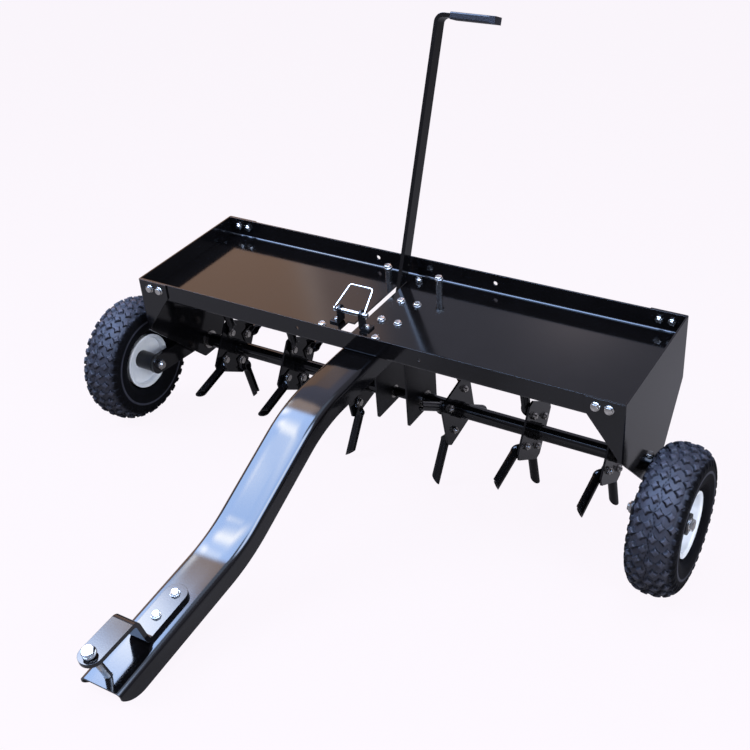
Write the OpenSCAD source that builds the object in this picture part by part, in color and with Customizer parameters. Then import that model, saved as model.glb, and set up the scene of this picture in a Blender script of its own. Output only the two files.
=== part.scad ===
// Tow behind plug aerator: a weight tray on spoon stars, with a lever that swings two wheels down.
// Every piece is drawn with the tray level, X to the right, Y to the rear, Z up, and the zero point
// at the middle of the tray's front rim. The whole machine is then set down on its wheels and tongue.

/* [Tray] */
// Width of the tray sheet between the end panels
tray_w = 1016; // [960:2:1100]
// Depth of the tray over its front and rear lips
tray_depth = 302; // [296:1:330]
// Height of the lips above the tray floor
lip_h = 38; // [32:1:46]
// Thickness of the tray sheet
tray_t = 3; // [2:0.5:4]
// Bend radius at the middle of the tray sheet
tray_bend = 6; // [4:0.5:8]
// Diameter of the spare holes in the rear lip
spare_hole_d = 9; // [6:0.5:11]
// Distance of each spare hole from the middle of the rear lip
spare_hole_x = 132; // [100:1:180]
// Diameter of the drain holes in the front lip
drain_d = 6; // [4:0.5:8]
// Distance of each drain hole from the middle of the front lip
drain_x = 130; // [90:1:200]

/* [End panels] */
// Thickness of the end panels
panel_t = 3; // [2:0.5:4]
// Depth of an end panel below the rim
panel_drop = 272; // [268:1:290]
// Height of an end panel's front edge
panel_front_h = 118; // [90:1:140]
// Height of an end panel's rear edge
panel_rear_h = 126; // [100:1:150]
// Length of an end panel's flat foot
panel_foot_w = 44; // [40:1:60]
// Corner radius of an end panel's lower edges
panel_corner_r = 8; // [3:1:14]
// Reach of the corner flanges round the lips
flange_reach = 67; // [60:1:80]
// Straight height of a corner flange
flange_h = 30; // [26:1:36]
// Taper of a corner flange, width lost for each unit of height
flange_taper = 0.75; // [0.6:0.05:0.9]

/* [Fasteners] */
// Diameter of the small bolts
bolt_d = 8; // [6:0.5:9]
// Width of the small bolt heads and nuts across flats
bolt_af = 13; // [11:0.5:15]
// Height of the small bolt heads and nuts
bolt_head_h = 5.5; // [4:0.5:7]
// Length of bolt thread that shows past a nut
bolt_tail = 3; // [1:0.5:5]
// Clearance round a bolt in its hole, on the radius
bolt_slack = 0.3; // [0.2:0.05:0.5]
// Distance of the outer corner bolt from the tray's end
corner_bolt_in = 24; // [18:1:28]
// Spacing of the two bolts at a corner
corner_bolt_pitch = 24; // [18:1:30]
// Depth of the corner bolts below the rim
corner_bolt_drop = 16; // [12:1:20]

/* [Axle] */
// Distance of the axle behind the front rim
axle_y = 170; // [160:1:180]
// Depth of the axle below the rim
axle_drop = 240; // [236:1:246]
// Diameter of the axle shaft
shaft_d = 20; // [18:0.5:22]
// Outer diameter of the spacer tubes on the axle
spacer_d = 30; // [27:0.5:33]
// Running clearance of turning pieces, on the radius
slip = 0.05; // [0.02:0.01:0.1]
// Gap between faces that turn past each other
side_gap = 0.4; // [0.3:0.05:0.6]
// Gap between curved pieces that seat in each other
seat_gap = 0.1; // [0.05:0.05:0.3]
// Outer diameter of the axle bushes
bush_d = 27; // [25:0.5:29]
// Flange diameter of the axle bushes
bush_flange_d = 40; // [36:0.5:44]
// Flange thickness of the axle bushes
bush_flange_t = 3; // [2:0.5:4]

/* [Hanger] */
// Thickness of the centre hanger
hanger_t = 4; // [3:0.5:5]
// Front edge of the centre hanger
hanger_y = 104; // [98:1:108]
// Length of the centre hanger from front to rear
hanger_len = 114; // [108:1:122]
// Depth of the hanger below the axle
hanger_below = 24; // [22:1:28]
// Corner radius at the foot of the hanger
hanger_foot_r = 5; // [2:1:22]

/* [Tongue] */
// Width of the tongue channel
tongue_w = 80; // [76:1:86]
// Depth of the tongue's flanges
tongue_depth = 38; // [34:1:44]
// Thickness of the tongue's sheet
tongue_t = 3; // [2.5:0.5:4]
// Outer radius along the tongue's upper edges
tongue_edge_r = 10; // [7:0.5:12]
// Rear end of the tongue behind the front rim
tongue_rear = 212; // [206:1:218]
// Reach of the tongue's level part ahead of the front rim
tongue_level = 180; // [150:1:220]
// Length of the tongue's steep part
tongue_fall = 269; // [240:1:300]
// Slope of the tongue's steep part in degrees
tongue_fall_deg = 24.4; // [20:0.1:28]
// Length of the tongue's front part
tongue_front = 310; // [285:1:340]
// Slope of the tongue's front part in degrees
tongue_front_deg = 5.9; // [4:0.1:8]
// Bend radius of the tongue's two curves
tongue_bend = 300; // [150:10:360]
// Height of the tongue's nose
nose_h = 13.5; // [12:0.5:18]
// Length of the curve under the tongue's nose
nose_run = 46; // [36:1:60]

/* [Hitch] */
// Width of the hitch strap
strap_w = 40; // [36:1:46]
// Thickness of the hitch strap
strap_t = 8; // [6:0.5:10]
// Bend radius at the middle of the hitch strap
strap_bend = 10; // [7:0.5:13]
// Distance from the tongue's tip to the strap's rear bolt
strap_bolt_rear = 182; // [172:1:192]
// Spacing of the two strap bolts
strap_bolt_pitch = 47; // [40:1:54]
// Distance from the tongue's tip to the foot of the strap's riser
riser_foot = 93; // [88:1:98]
// Forward lean of the strap's riser, as a length
riser_lean = 9; // [4:1:14]
// Gap between the tongue and the strap's upper arm
hitch_gap = 53; // [44:1:60]
// Climb of the upper arm from the riser to its eye
arm_climb = 4; // [0:0.5:7]
// Distance from the tongue's tip back to the strap's eye
eye_back = 8; // [4:0.5:12]
// Distance from the tongue's tip back to the hitch pin's lower hole
pin_back = 20; // [17:0.5:24]
// Diameter of the hitch pin
pin_d = 16; // [14:0.5:18]
// Head diameter of the hitch pin
pin_head_d = 27; // [24:0.5:32]
// Head height of the hitch pin
pin_head_h = 11; // [8:0.5:14]
// Length of the hitch pin below the tongue's top
pin_below = 22; // [18:0.5:24]
// Diameter of the clip hole in the hitch pin
clip_hole_d = 4; // [3:0.5:5]

/* [Lever] */
// Distance of the lever left of the middle
lever_left = 52; // [50:0.5:54]
// Thickness of the lever bar
lever_t = 8; // [6:0.5:9]
// Width of the lever bar
lever_w = 28; // [24:1:32]
// Length of the lever from the axle to its handle
lever_len = 735; // [650:5:800]
// Backward lean of the lever in degrees
lever_lean = 22.6; // [20:0.1:25]
// Length of the handle from the lever to its end
handle_len = 118; // [100:1:140]
// Bend radius at the middle of the handle bar
handle_bend = 14; // [10:0.5:18]
// Wall of the plastic grip
grip_wall = 3; // [2:0.5:4]
// Length of the plastic grip
grip_len = 92; // [70:1:95]
// Taper at the grip's outer end
grip_taper = 14; // [8:1:18]
// Radius of the lever's eye round the axle
lever_eye_r = 21; // [20:0.5:24]
// Thickness of the lever's eye
lever_eye_t = 11; // [10:0.5:13]
// Diameter of the cross pin through the lever's eye
lever_pin_d = 5; // [4:0.5:6]
// Outer diameter of the lever and crank sleeves
sleeve_d = 34; // [32:0.5:36]
// Length of the lever's sleeve
lever_sleeve = 20; // [18:0.5:21]
// Width of the lever slot in the tray floor
slot_w = 12; // [11:0.5:13]
// Front end of the lever slot behind the front rim
slot_front = 45; // [40:1:55]
// Length of the slot's wide front part
notch_len = 40; // [30:1:45]
// Extra width of the slot's front part, to the left
notch_extra = 14; // [8:1:16]

/* [Lever lock] */
// Distance of the lock pin behind the front rim
lock_y = 78; // [72:1:84]
// Height of the lock pin above the tray floor
lock_h = 28; // [24:1:32]
// Diameter of the lock pin
lock_pin_d = 10; // [8:0.5:11]
// Distance of the left lock ear from the lever
ear_left = 31; // [28:1:40]
// Distance of the right lock ear from the lever
ear_right = 16; // [11:0.5:18]
// Thickness of the lock ears
ear_t = 4; // [3:0.5:5]
// Width of the lock ears
ear_w = 20; // [18:1:32]
// Length of a lock ear's foot
ear_foot = 20; // [16:1:24]
// Length of the lock pin past each ear
lock_pin_past = 13; // [11:0.5:16]
// Wire diameter of the bail
bail_d = 4; // [3:0.5:4.5]
// Height of the bail
bail_h = 52; // [44:1:60]
// Bend radius at the middle of the bail's wire
bail_bend = 5; // [4:0.5:8]
// Backward lean of the bail in degrees
bail_lean = 55; // [45:1:60]

/* [Tray bolts and posts] */
// Distance of the hanger bolts from the middle
hanger_bolt_x = 18; // [15:0.5:20]
// Distance of the front hanger bolts behind the front rim
hanger_bolt_front = 117; // [114:0.5:124]
// Distance of the rear hanger bolts behind the front rim
hanger_bolt_rear = 192; // [186:0.5:200]
// Distance of the front tray bolts behind the front rim
front_bolt_y = 54; // [46:1:60]
// Distance of the left front tray bolt from the middle
front_bolt_left = 112; // [106:1:124]
// Distance of the right front tray bolt from the middle
front_bolt_right = 6; // [2:0.5:10]
// Distance of the two posts behind the front rim
post_y = 248; // [240:1:254]
// Distance of the left post from the middle
post_left = 78; // [72:1:88]
// Distance of the right post from the middle
post_right = 36; // [30:1:60]
// Diameter of the posts' tubes
post_d = 13; // [11:0.5:15]
// Height of the posts' tubes above the tray floor
post_h = 32; // [26:1:38]
// Thickness of the washers on the posts
post_washer_t = 2; // [1:0.5:3]
// Width of the washers' rims outside the posts' tubes
post_washer_rim = 2; // [1:0.5:3]

/* [Spoon stars] */
// Distance of the inner stars from the middle
star_first = 111; // [104:1:118]
// Distance of the outer stars inside the ends of the tray
star_outer_in = 70; // [66:1:90]
// Side of a star's square plate
star_plate = 115; // [108:1:120]
// Thickness of a star's plate
star_plate_t = 4; // [3:0.5:5]
// Width cut from each corner of a star's plate
star_clip = 16; // [10:1:20]
// Length of a star's hub
star_hub_len = 28; // [26:0.5:32]
// Radius of the spoon bolts' circle
spoon_bolt_r = 42; // [40:0.5:46]
// Radius of the circle through the spoon tips
spoon_tip_r = 155; // [145:1:158]
// Radius at which a spoon's flat root starts
spoon_root_r = 29; // [27:0.5:31]
// Radius at which a spoon starts to curl
spoon_curl_from = 56; // [54:0.5:60]
// Radius at which a spoon is fully curled
spoon_curl_to = 98; // [90:1:110]
// Width of a spoon's flat root
spoon_root_w = 26; // [22:1:30]
// Outer diameter of a spoon's curled tip
spoon_d = 20; // [17:0.5:23]
// Thickness of the spoon steel
spoon_t = 2.5; // [2:0.25:3]
// Angle left open along a spoon's curl in degrees
spoon_open_deg = 60; // [40:1:90]
// Length of the slanting cut at a spoon's tip
spoon_cut = 16; // [8:1:24]

/* [Wheels] */
// Length of the wheel cranks between their two holes
crank_len = 146.5; // [138:0.5:155]
// Upward slope of the wheel cranks in degrees
crank_deg = 5.7; // [3:0.1:8]
// Width of the wheel cranks
crank_w = 42; // [40:1:46]
// Thickness of the wheel cranks
crank_t = 10; // [8:0.5:12]
// Length of the crank sleeve on the axle, inside the crank
crank_sleeve = 16; // [15:0.5:19]
// Diameter of the wheel bolts
wheel_bolt_d = 16; // [14:0.5:18]
// Width of the wheel bolt heads and nuts across flats
wheel_bolt_af = 24; // [22:0.5:27]
// Height of the wheel bolt heads and nuts
wheel_bolt_head_h = 9; // [8:0.5:11]
// Outer radius of the tyres
tyre_r = 134; // [131:0.5:137]
// Width of the tyres
tyre_w = 90; // [82:1:96]
// Height of the tyre's section
tyre_section = 80; // [76:1:84]
// Wall of the tyres
tyre_wall = 8; // [6:0.5:10]
// Number of tread studs round each row
stud_count = 38; // [34:1:40]
// Height of the tread studs and shoulder bars
stud_h = 5; // [4:0.5:5.5]
// Depth of the studs' roots in the tyre's wall
stud_root = 2; // [1:0.5:2.5]
// Depth of the studs' flat tops below the tyre's full outline
stud_below = 0.85; // [0.8:0.05:1.2]
// Place of the inner stud rows round the tyre's section, in degrees from the crown
stud_inner_deg = 9.5; // [9:0.5:11]
// Place of the outer stud rows round the tyre's section, in degrees from the crown
stud_outer_deg = 36.5; // [35:0.5:39]
// Length of a stud's four arms from its middle
stud_reach = 13; // [11:0.5:13.5]
// Distance of the notches between a stud's arms from its middle
stud_waist = 6.5; // [5.5:0.5:7]
// Turn of a stud's arms from the tyre's axis in degrees
stud_turn = 40; // [35:1:45]
// Width of the shoulder bars
bar_w = 10; // [8:0.5:12]
// Upper end of the shoulder bars round the tyre's section, in degrees from the crown
bar_from_deg = 48; // [46:1:52]
// Lower end of the shoulder bars round the tyre's section, in degrees from the crown
bar_to_deg = 88; // [84:1:94]
// Depth of the tyre's plain side walls below its full outline
wall_below = 0.8; // [0.6:0.1:1.2]
// Height of the tyre beads on the rim
bead_h = 12; // [10:0.5:14]
// Width of the tyre beads on the rim
bead_w = 9; // [8:0.5:11]
// Outer radius of the rim's barrel
rim_r = 54; // [52:0.5:55]
// Width of the rims over their lips
rim_w = 66; // [62:1:70]
// Lip radius of the rims
rim_lip_r = 59; // [57:0.5:61]
// Radius of the flat bottom of the rim's dish
dish_r = 36; // [33:0.5:38]
// Offset of the dish's flat bottom from the wheel's middle
dish_in = 4; // [0:0.5:8]
// Offset of the dish's outer edge from the wheel's middle
dish_out = 15; // [12:0.5:18]
// Thickness of the rim sheet
rim_t = 3; // [2:0.5:4]
// Outer diameter of the wheel hubs
hub_d = 38; // [34:0.5:42]
// Length of the hub inside the wheel's middle
hub_in = 55; // [52:0.5:60]
// Length of the hub outside the wheel's middle
hub_out = 31; // [27:0.5:35]
// Diameter of the valve stems
valve_d = 8; // [6:0.5:10]
// Length of the valve stems
valve_len = 18; // [12:1:22]

/* [Hidden] */
STARS = [1, 2, 3, 4, 5, 6];
FRAME_NODES = ["tray", "end_panel_left", "end_panel_right", "corner_bolts", "tongue", "hanger",
    "hanger_bolts", "tray_bolts", "posts", "axle_bushes", "lock_ears", "lock_pin", "hitch_strap",
    "strap_bolts"];
LIFT_NODES = ["shaft", "spacers", "lever", "grip", "crank_left", "crank_right", "clamp_bolts",
    "lever_pin", "wheel_bolt_left", "wheel_bolt_right"];
WHEEL_NODES = [for (s = ["left", "right"]) each [for (n = ["tyre_", "rim_", "hub_", "valve_"]) str(n, s)]];
STAR_NODES = [for (i = STARS) each [for (n = ["spoon_plate_", "spoons_", "spoon_bolts_"]) str(n, i)]];

$fn = 48;
black_paint = "#191a1d";
zinc = "#c6c9cd";
rubber = "#222224";
rim_paint = "#e4e6ea";
grip_grey = "#5f6570";

// Extra length that carries a cut clear through a face
through = 1;
// Facets along a bend
bend_steps = 8;
// Turn of each star from the first spoon level with the axle, in degrees
star_turns = [13, 13, -34, -34, 12, 14];

// Levels and stations in the level frame
floor_top = -lip_h;
floor_under = floor_top - tray_t;
web_under = floor_under - tongue_t;
axle_z = -axle_drop;
panel_x = tray_w / 2 + side_gap;
panel_out = panel_x + panel_t;
shaft_bore = shaft_d + 2 * slip;
sleeve_bore = shaft_d + 2 * seat_gap;
hanger_out = tongue_w / 2 - tongue_t - side_gap;
inner_flange_x = hanger_out + bush_flange_t;
end_flange_x = panel_x - bush_flange_t;
crank_x = panel_out + side_gap + crank_sleeve;
crank_out = crank_x + crank_t;
wheel_x = crank_out + side_gap + hub_in;
wheel_y = axle_y - crank_len * cos(crank_deg);
wheel_z = axle_z + crank_len * sin(crank_deg);
lever_x = -lever_left;
lock_z = floor_top + lock_h;
ear_x = [lever_x - ear_left, lever_x + ear_right];
lever_floor_y = axle_y + (floor_top - axle_z) * tan(lever_lean);
slot_rear = lever_floor_y + lever_w / 2 / cos(lever_lean) + side_gap;

// Tongue line seen from the side, from its rear end to its tip, each point as [y, z]
tongue_line = [
    [tongue_rear, floor_under],
    [-tongue_level, floor_under],
    [-tongue_level, floor_under] - tongue_fall * [cos(tongue_fall_deg), sin(tongue_fall_deg)],
    [-tongue_level, floor_under] - tongue_fall * [cos(tongue_fall_deg), sin(tongue_fall_deg)]
        - tongue_front * [cos(tongue_front_deg), sin(tongue_front_deg)]];
tip = tongue_line[3];
nose_drop = tongue_depth - nose_h;
nose_r = (nose_run * nose_run + nose_drop * nose_drop) / 2 / nose_drop;
tip_along = [cos(tongue_front_deg), sin(tongue_front_deg)];
tip_up = [-sin(tongue_front_deg), cos(tongue_front_deg)];

// Hitch strap and hitch pin measured from the tongue's tip, along the tongue and square to it
riser_top = riser_foot - riser_lean;
arm_mid_h = hitch_gap + strap_t / 2;
arm_deg = atan2(arm_climb, riser_top - eye_back);
eye_mid_h = arm_mid_h + arm_climb;
pin_lean = atan2(pin_back - eye_back, eye_mid_h);
pin_to_eye = norm([pin_back - eye_back, eye_mid_h]);
pin_tilt = pin_lean + arm_deg;
pin_seat = pin_to_eye + strap_t / 2 / cos(pin_tilt) + pin_head_d / 2 * tan(pin_tilt) + side_gap;

// Pitch at which the tyres and the tongue's nose stand on one floor
nose_centre = tip + nose_run * tip_along - (tongue_depth - nose_r) * tip_up;
nose_from_wheel = nose_centre - [wheel_y, wheel_z];
park_pitch = 180 + asin((tyre_r - nose_r) / norm(nose_from_wheel))
    - atan2(nose_from_wheel[1], nose_from_wheel[0]);
function parked_y(p) = p[0] * cos(park_pitch) - p[1] * sin(park_pitch);
function parked_z(p) = p[0] * sin(park_pitch) + p[1] * cos(park_pitch);
floor_z = parked_z([wheel_y, wheel_z]) - tyre_r;

// Front and rear limits of the parked machine: the strap's eye and the grip's upper rear edge
eye_front = tip + (eye_back - strap_w / 2) * tip_along
    + (eye_mid_h + strap_w / 2 * tan(arm_deg) + strap_t / 2 / cos(arm_deg)) * tip_up;
front_y = parked_y(eye_front);
grip_half_w = lever_w / 2 + grip_wall;
grip_half_t = lever_t / 2 + grip_wall;
grip_edge = [axle_y, axle_z] + (lever_len + grip_half_t - grip_wall) * [sin(lever_lean), cos(lever_lean)]
    + (grip_half_w - grip_wall) * [cos(lever_lean), -sin(lever_lean)];
rear_y = parked_y(grip_edge) + grip_wall;
middle_y = (front_y + rear_y) / 2;

// Sets the level machine down on the floor, centred on the zero point
module parked() {
    translate([0, -middle_y, -floor_z]) rotate([park_pitch, 0, 0]) children();
}

// Plane geometry for bent strips and rounded outlines
function reversed(v) = [for (i = [len(v) - 1 : -1 : 0]) v[i]];
function heading(a, b) = (b - a) / norm(b - a);
function left_of(d) = [-d[1], d[0]];
function turn(a, b) = atan2(a[0] * b[1] - a[1] * b[0], a * b);
function arc_points(c, r, from, sweep, steps) =
    [for (k = [0 : steps]) c + r * [cos(from + sweep * k / steps), sin(from + sweep * k / steps)]];
function corner_arc(a, p, b, r, off, steps) =
    let (d0 = heading(a, p), d1 = heading(p, b), th = turn(d0, d1), s = sign(th),
         c = p - d0 * r * tan(abs(th) / 2) + s * r * left_of(d0))
    arc_points(c, r - s * off, atan2(d0[1], d0[0]) - 90 * s, th, steps);
function strip_side(path, r, off) =
    let (n = len(path) - 1)
    concat([path[0] + off * left_of(heading(path[0], path[1]))],
        [for (i = [1 : n - 1]) each corner_arc(path[i - 1], path[i], path[i + 1], r, off, bend_steps)],
        [path[n] + off * left_of(heading(path[n - 1], path[n]))]);
function rounded(pts, radii) =
    let (n = len(pts))
    [for (i = [0 : n - 1])
        each radii[i] == 0 ? [pts[i]]
            : corner_arc(pts[(i + n - 1) % n], pts[i], pts[(i + 1) % n], radii[i], 0, bend_steps)];

// Section of a sheet bent along a path
module strip(path, r, t) {
    polygon(concat(strip_side(path, r, t / 2), reversed(strip_side(path, r, -t / 2))));
}

// Extrusions of a section along each axis
module along_x(from, to) {
    translate([from, 0, 0]) rotate([90, 0, 90]) linear_extrude(to - from) children();
}
module along_y(from, to) {
    translate([0, to, 0]) rotate([90, 0, 0]) linear_extrude(to - from) children();
}
module along_z(from, to) {
    translate([0, 0, from]) linear_extrude(to - from) children();
}
module rod_x(from, to, d) {
    translate([from, 0, 0]) rotate([0, 90, 0]) cylinder(h = to - from, d = d);
}

// Draws a right hand piece, or its mirror image on the left
module on_side(side) {
    if (side > 0) children();
    else mirror([1, 0, 0]) children();
}

// Places on the level machine
module at_axle() {
    translate([0, axle_y, axle_z]) children();
}
module at_lever() {
    at_axle() rotate([-lever_lean, 0, 0]) children();
}
module at_tip() {
    translate([0, tip[0], tip[1]]) rotate([tongue_front_deg, 0, 0]) children();
}
module at_pin() {
    at_tip() translate([0, pin_back, 0]) rotate([pin_lean, 0, 0]) children();
}
module at_crank() {
    at_axle() rotate([-crank_deg, 0, 0]) children();
}

// A hexagon bolt on +Z with its nut: the head seats at zero and the nut at minus the grip
module hex_bolt(d, af, head_h, grip) {
    hex_d = af / cos(30);
    cylinder(h = head_h, d = hex_d, $fn = 6);
    translate([0, 0, -grip - head_h]) cylinder(h = head_h, d = hex_d, $fn = 6);
    translate([0, 0, -grip - head_h - bolt_tail]) cylinder(h = grip + head_h + bolt_tail + through, d = d);
}
module small_bolt(grip) {
    hex_bolt(bolt_d, bolt_af, bolt_head_h, grip);
}
bolt_hole_d = bolt_d + 2 * bolt_slack;

// Corner bolts of one side, as [x, y of the head's seat, turn of the head]
corner_seats = [for (x = [0, 1], rear = [0, 1])
    [tray_w / 2 - corner_bolt_in - x * corner_bolt_pitch,
        rear ? tray_depth + panel_t : -panel_t, rear ? -90 : 90]];
module corner_holes() {
    for (s = corner_seats)
        translate([s[0], s[1], -corner_bolt_drop]) rotate([s[2], 0, 0])
            translate([0, 0, -panel_t - tray_t - through])
                cylinder(h = panel_t + tray_t + 2 * through, d = bolt_hole_d);
}

// Bolts that drop through the tray floor, as [x, y, grip]
hanger_bolt_spots = [for (x = [-1, 1], y = [hanger_bolt_front, hanger_bolt_rear])
    [x * hanger_bolt_x, y, tray_t + tongue_t + hanger_t]];
tray_bolt_spots = [
    [-front_bolt_left, front_bolt_y, tray_t],
    [front_bolt_right, front_bolt_y, tray_t + tongue_t]];
post_spots = [[-post_left, post_y], [post_right, post_y]];
module floor_holes(spots, d) {
    for (s = spots)
        translate([s[0], s[1], floor_under - tongue_t - hanger_t - through])
            cylinder(h = tray_t + tongue_t + hanger_t + 2 * through, d = d);
}

module tray() {
    floor_mid = floor_top - tray_t / 2;
    color(black_paint) parked() difference() {
        along_x(-tray_w / 2, tray_w / 2)
            strip([[tray_t / 2, 0], [tray_t / 2, floor_mid],
                [tray_depth - tray_t / 2, floor_mid], [tray_depth - tray_t / 2, 0]], tray_bend, tray_t);
        along_z(floor_under - through, floor_top + through) {
            translate([lever_x - slot_w / 2, slot_front])
                square([slot_w, slot_rear - slot_front]);
            translate([lever_x - slot_w / 2 - notch_extra, slot_front])
                square([slot_w + notch_extra, notch_len]);
        }
        floor_holes(hanger_bolt_spots, bolt_hole_d);
        floor_holes(tray_bolt_spots, bolt_hole_d);
        floor_holes(post_spots, bolt_hole_d);
        for (side = [-1, 1]) {
            on_side(side) corner_holes();
            translate([side * drain_x, 0, floor_top / 2]) rotate([90, 0, 0])
                cylinder(h = 4 * tray_t, d = drain_d, center = true);
            translate([side * spare_hole_x, tray_depth, floor_top / 2]) rotate([90, 0, 0])
                cylinder(h = 4 * tray_t, d = spare_hole_d, center = true);
        }
    }
}

// Side plate folded round the lips, cut to its side view and its front view
module end_panel(side) {
    fold_r = panel_t / 2 + side_gap;
    mid_x = panel_x + panel_t / 2;
    inner_x = panel_out - flange_reach - panel_t;
    front = -panel_t;
    rear = tray_depth + panel_t;
    foot = axle_y - panel_foot_w / 2;
    r = panel_corner_r;
    outline = rounded([[front, 0], [front, -panel_front_h], [foot, -panel_drop],
        [foot + panel_foot_w, -panel_drop], [rear, -panel_rear_h], [rear, 0]], [0, r, r, r, r, 0]);
    taper_end = flange_h + (panel_x - 2 * panel_t - inner_x) / flange_taper;
    color(black_paint) parked() on_side(side) difference() {
        intersection() {
            along_z(-panel_drop - through, 0)
                strip([[inner_x, front / 2], [mid_x, front / 2], [mid_x, rear - panel_t / 2],
                    [inner_x, rear - panel_t / 2]], fold_r, panel_t);
            along_x(inner_x - through, panel_out + through) polygon(outline);
            along_y(front - through, rear + through)
                polygon([[inner_x, 0], [inner_x, -flange_h], [panel_x - 2 * panel_t, -taper_end],
                    [panel_x - 2 * panel_t, -panel_drop], [panel_out, -panel_drop], [panel_out, 0]]);
        }
        corner_holes();
        at_axle() rod_x(panel_x - through, panel_out + through, bush_d + 2 * seat_gap);
    }
}

module corner_bolts() {
    color(zinc) parked() for (side = [-1, 1]) on_side(side)
        for (s = corner_seats)
            translate([s[0], s[1], -corner_bolt_drop]) rotate([s[2], 0, 0]) small_bolt(panel_t + tray_t);
}

// Section of the tongue at a flange depth, as [x, height above the top face]
function mirrored(v) = [for (p = reversed(v)) [-p[0], p[1]]];
function tongue_section(depth) =
    let (outer = concat([[tongue_w / 2, -depth]],
            arc_points([tongue_w / 2 - tongue_edge_r, -tongue_edge_r], tongue_edge_r, 0, 90, 4)),
         inner = concat([[tongue_w / 2 - tongue_t, -depth]],
            arc_points([tongue_w / 2 - tongue_edge_r, -tongue_edge_r], tongue_edge_r - tongue_t, 0, 90, 4)))
    concat(outer, mirrored(outer), mirrored(reversed(inner)), reversed(inner));

// Stations along the tongue, each as [[y, z], heading angle, flange depth]
function bend_stations(a, p, b) =
    let (d0 = heading(a, p), d1 = heading(p, b), th = turn(d0, d1),
         pts = corner_arc(a, p, b, tongue_bend, 0, bend_steps))
    [for (k = [0 : bend_steps]) [pts[k], atan2(d0[1], d0[0]) + th * k / bend_steps, tongue_depth]];
nose_stations = [for (k = [0 : bend_steps])
    let (q = nose_run * (1 - k / bend_steps))
    [tip + q * tip_along, 180 + tongue_front_deg,
        tongue_depth - nose_r + sqrt(nose_r * nose_r - pow(nose_run - q, 2))]];
tongue_stations = concat([[tongue_line[0], 180, tongue_depth]],
    bend_stations(tongue_line[0], tongue_line[1], tongue_line[2]),
    bend_stations(tongue_line[1], tongue_line[2], tongue_line[3]),
    nose_stations);

// A closed skin over rings of a bent sheet: the first half of a ring runs along one face of the sheet
// and the second half runs back along the other
module skin(rings) {
    n = len(rings[0]);
    last = (len(rings) - 1) * n;
    sides = [for (i = [0 : len(rings) - 2], j = [0 : n - 1])
        let (a = i * n + j, b = i * n + (j + 1) % n)
        each [[a, b, a + n], [b, b + n, a + n]]];
    start = [for (j = [0 : n / 2 - 2]) each [[j + 1, j, n - 1 - j], [j + 1, n - 1 - j, n - 2 - j]]];
    end = [for (f = start) [last + f[2], last + f[1], last + f[0]]];
    polyhedron(points = [for (r = rings) each r], faces = concat(sides, start, end));
}

module tongue() {
    rings = [for (s = tongue_stations)
        let (up = [sin(s[1]), -cos(s[1])])
        [for (p = tongue_section(s[2])) [p[0], s[0][0] + p[1] * up[0], s[0][1] + p[1] * up[1]]]];
    color(black_paint) parked() difference() {
        skin(rings);
        floor_holes(hanger_bolt_spots, bolt_hole_d);
        floor_holes(tray_bolt_spots, bolt_hole_d);
        strap_holes();
        at_pin() cylinder(h = 4 * tongue_t, d = pin_d + 2 * slip, center = true);
    }
}

// Bracket under the tray that carries the middle of the axle
module hanger() {
    leg_x = hanger_out - hanger_t / 2;
    top = web_under - hanger_t / 2;
    foot = axle_z - hanger_below;
    bend = tongue_edge_r - hanger_t / 2;
    rear = hanger_y + hanger_len;
    color(black_paint) parked() difference() {
        intersection() {
            along_y(hanger_y, rear)
                strip([[-leg_x, foot], [-leg_x, top], [leg_x, top], [leg_x, foot]], bend, hanger_t);
            along_x(-hanger_out, hanger_out)
                polygon(rounded([[hanger_y, web_under], [hanger_y, foot], [rear, foot], [rear, web_under]],
                    [0, hanger_foot_r, hanger_foot_r, 0]));
        }
        floor_holes(hanger_bolt_spots, bolt_hole_d);
        at_axle() rod_x(-hanger_out - through, hanger_out + through, bush_d + 2 * seat_gap);
    }
}

module floor_bolts(spots) {
    for (s = spots)
        translate([s[0], s[1], floor_top]) small_bolt(s[2]);
}
module hanger_bolts() {
    color(zinc) parked() floor_bolts(hanger_bolt_spots);
}
module tray_bolts() {
    color(zinc) parked() floor_bolts(tray_bolt_spots);
}

// Standing bolts: each runs down a tube, from a washer on its top to a nut under the floor
module posts() {
    color(zinc) parked() for (s = post_spots)
        translate([s[0], s[1], floor_top]) {
            cylinder(h = post_h, d = post_d);
            translate([0, 0, post_h]) cylinder(h = post_washer_t, d = post_d + 2 * post_washer_rim);
            translate([0, 0, post_h + post_washer_t]) small_bolt(post_h + post_washer_t + tray_t);
        }
}

// Flanged bushes: in the end panels the flange is inside, in the hanger it is outside
module bush(flange_from, body_from, body_to) {
    difference() {
        union() {
            rod_x(flange_from, flange_from + bush_flange_t, bush_flange_d);
            rod_x(body_from, body_to, bush_d);
        }
        rod_x(min(flange_from, body_from) - through, body_to + bush_flange_t + through, shaft_bore);
    }
}
module axle_bushes() {
    color(zinc) parked() at_axle() for (side = [-1, 1]) on_side(side) {
        bush(end_flange_x, end_flange_x, panel_out);
        bush(hanger_out, hanger_out - hanger_t, hanger_out + bush_flange_t);
    }
}

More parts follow.
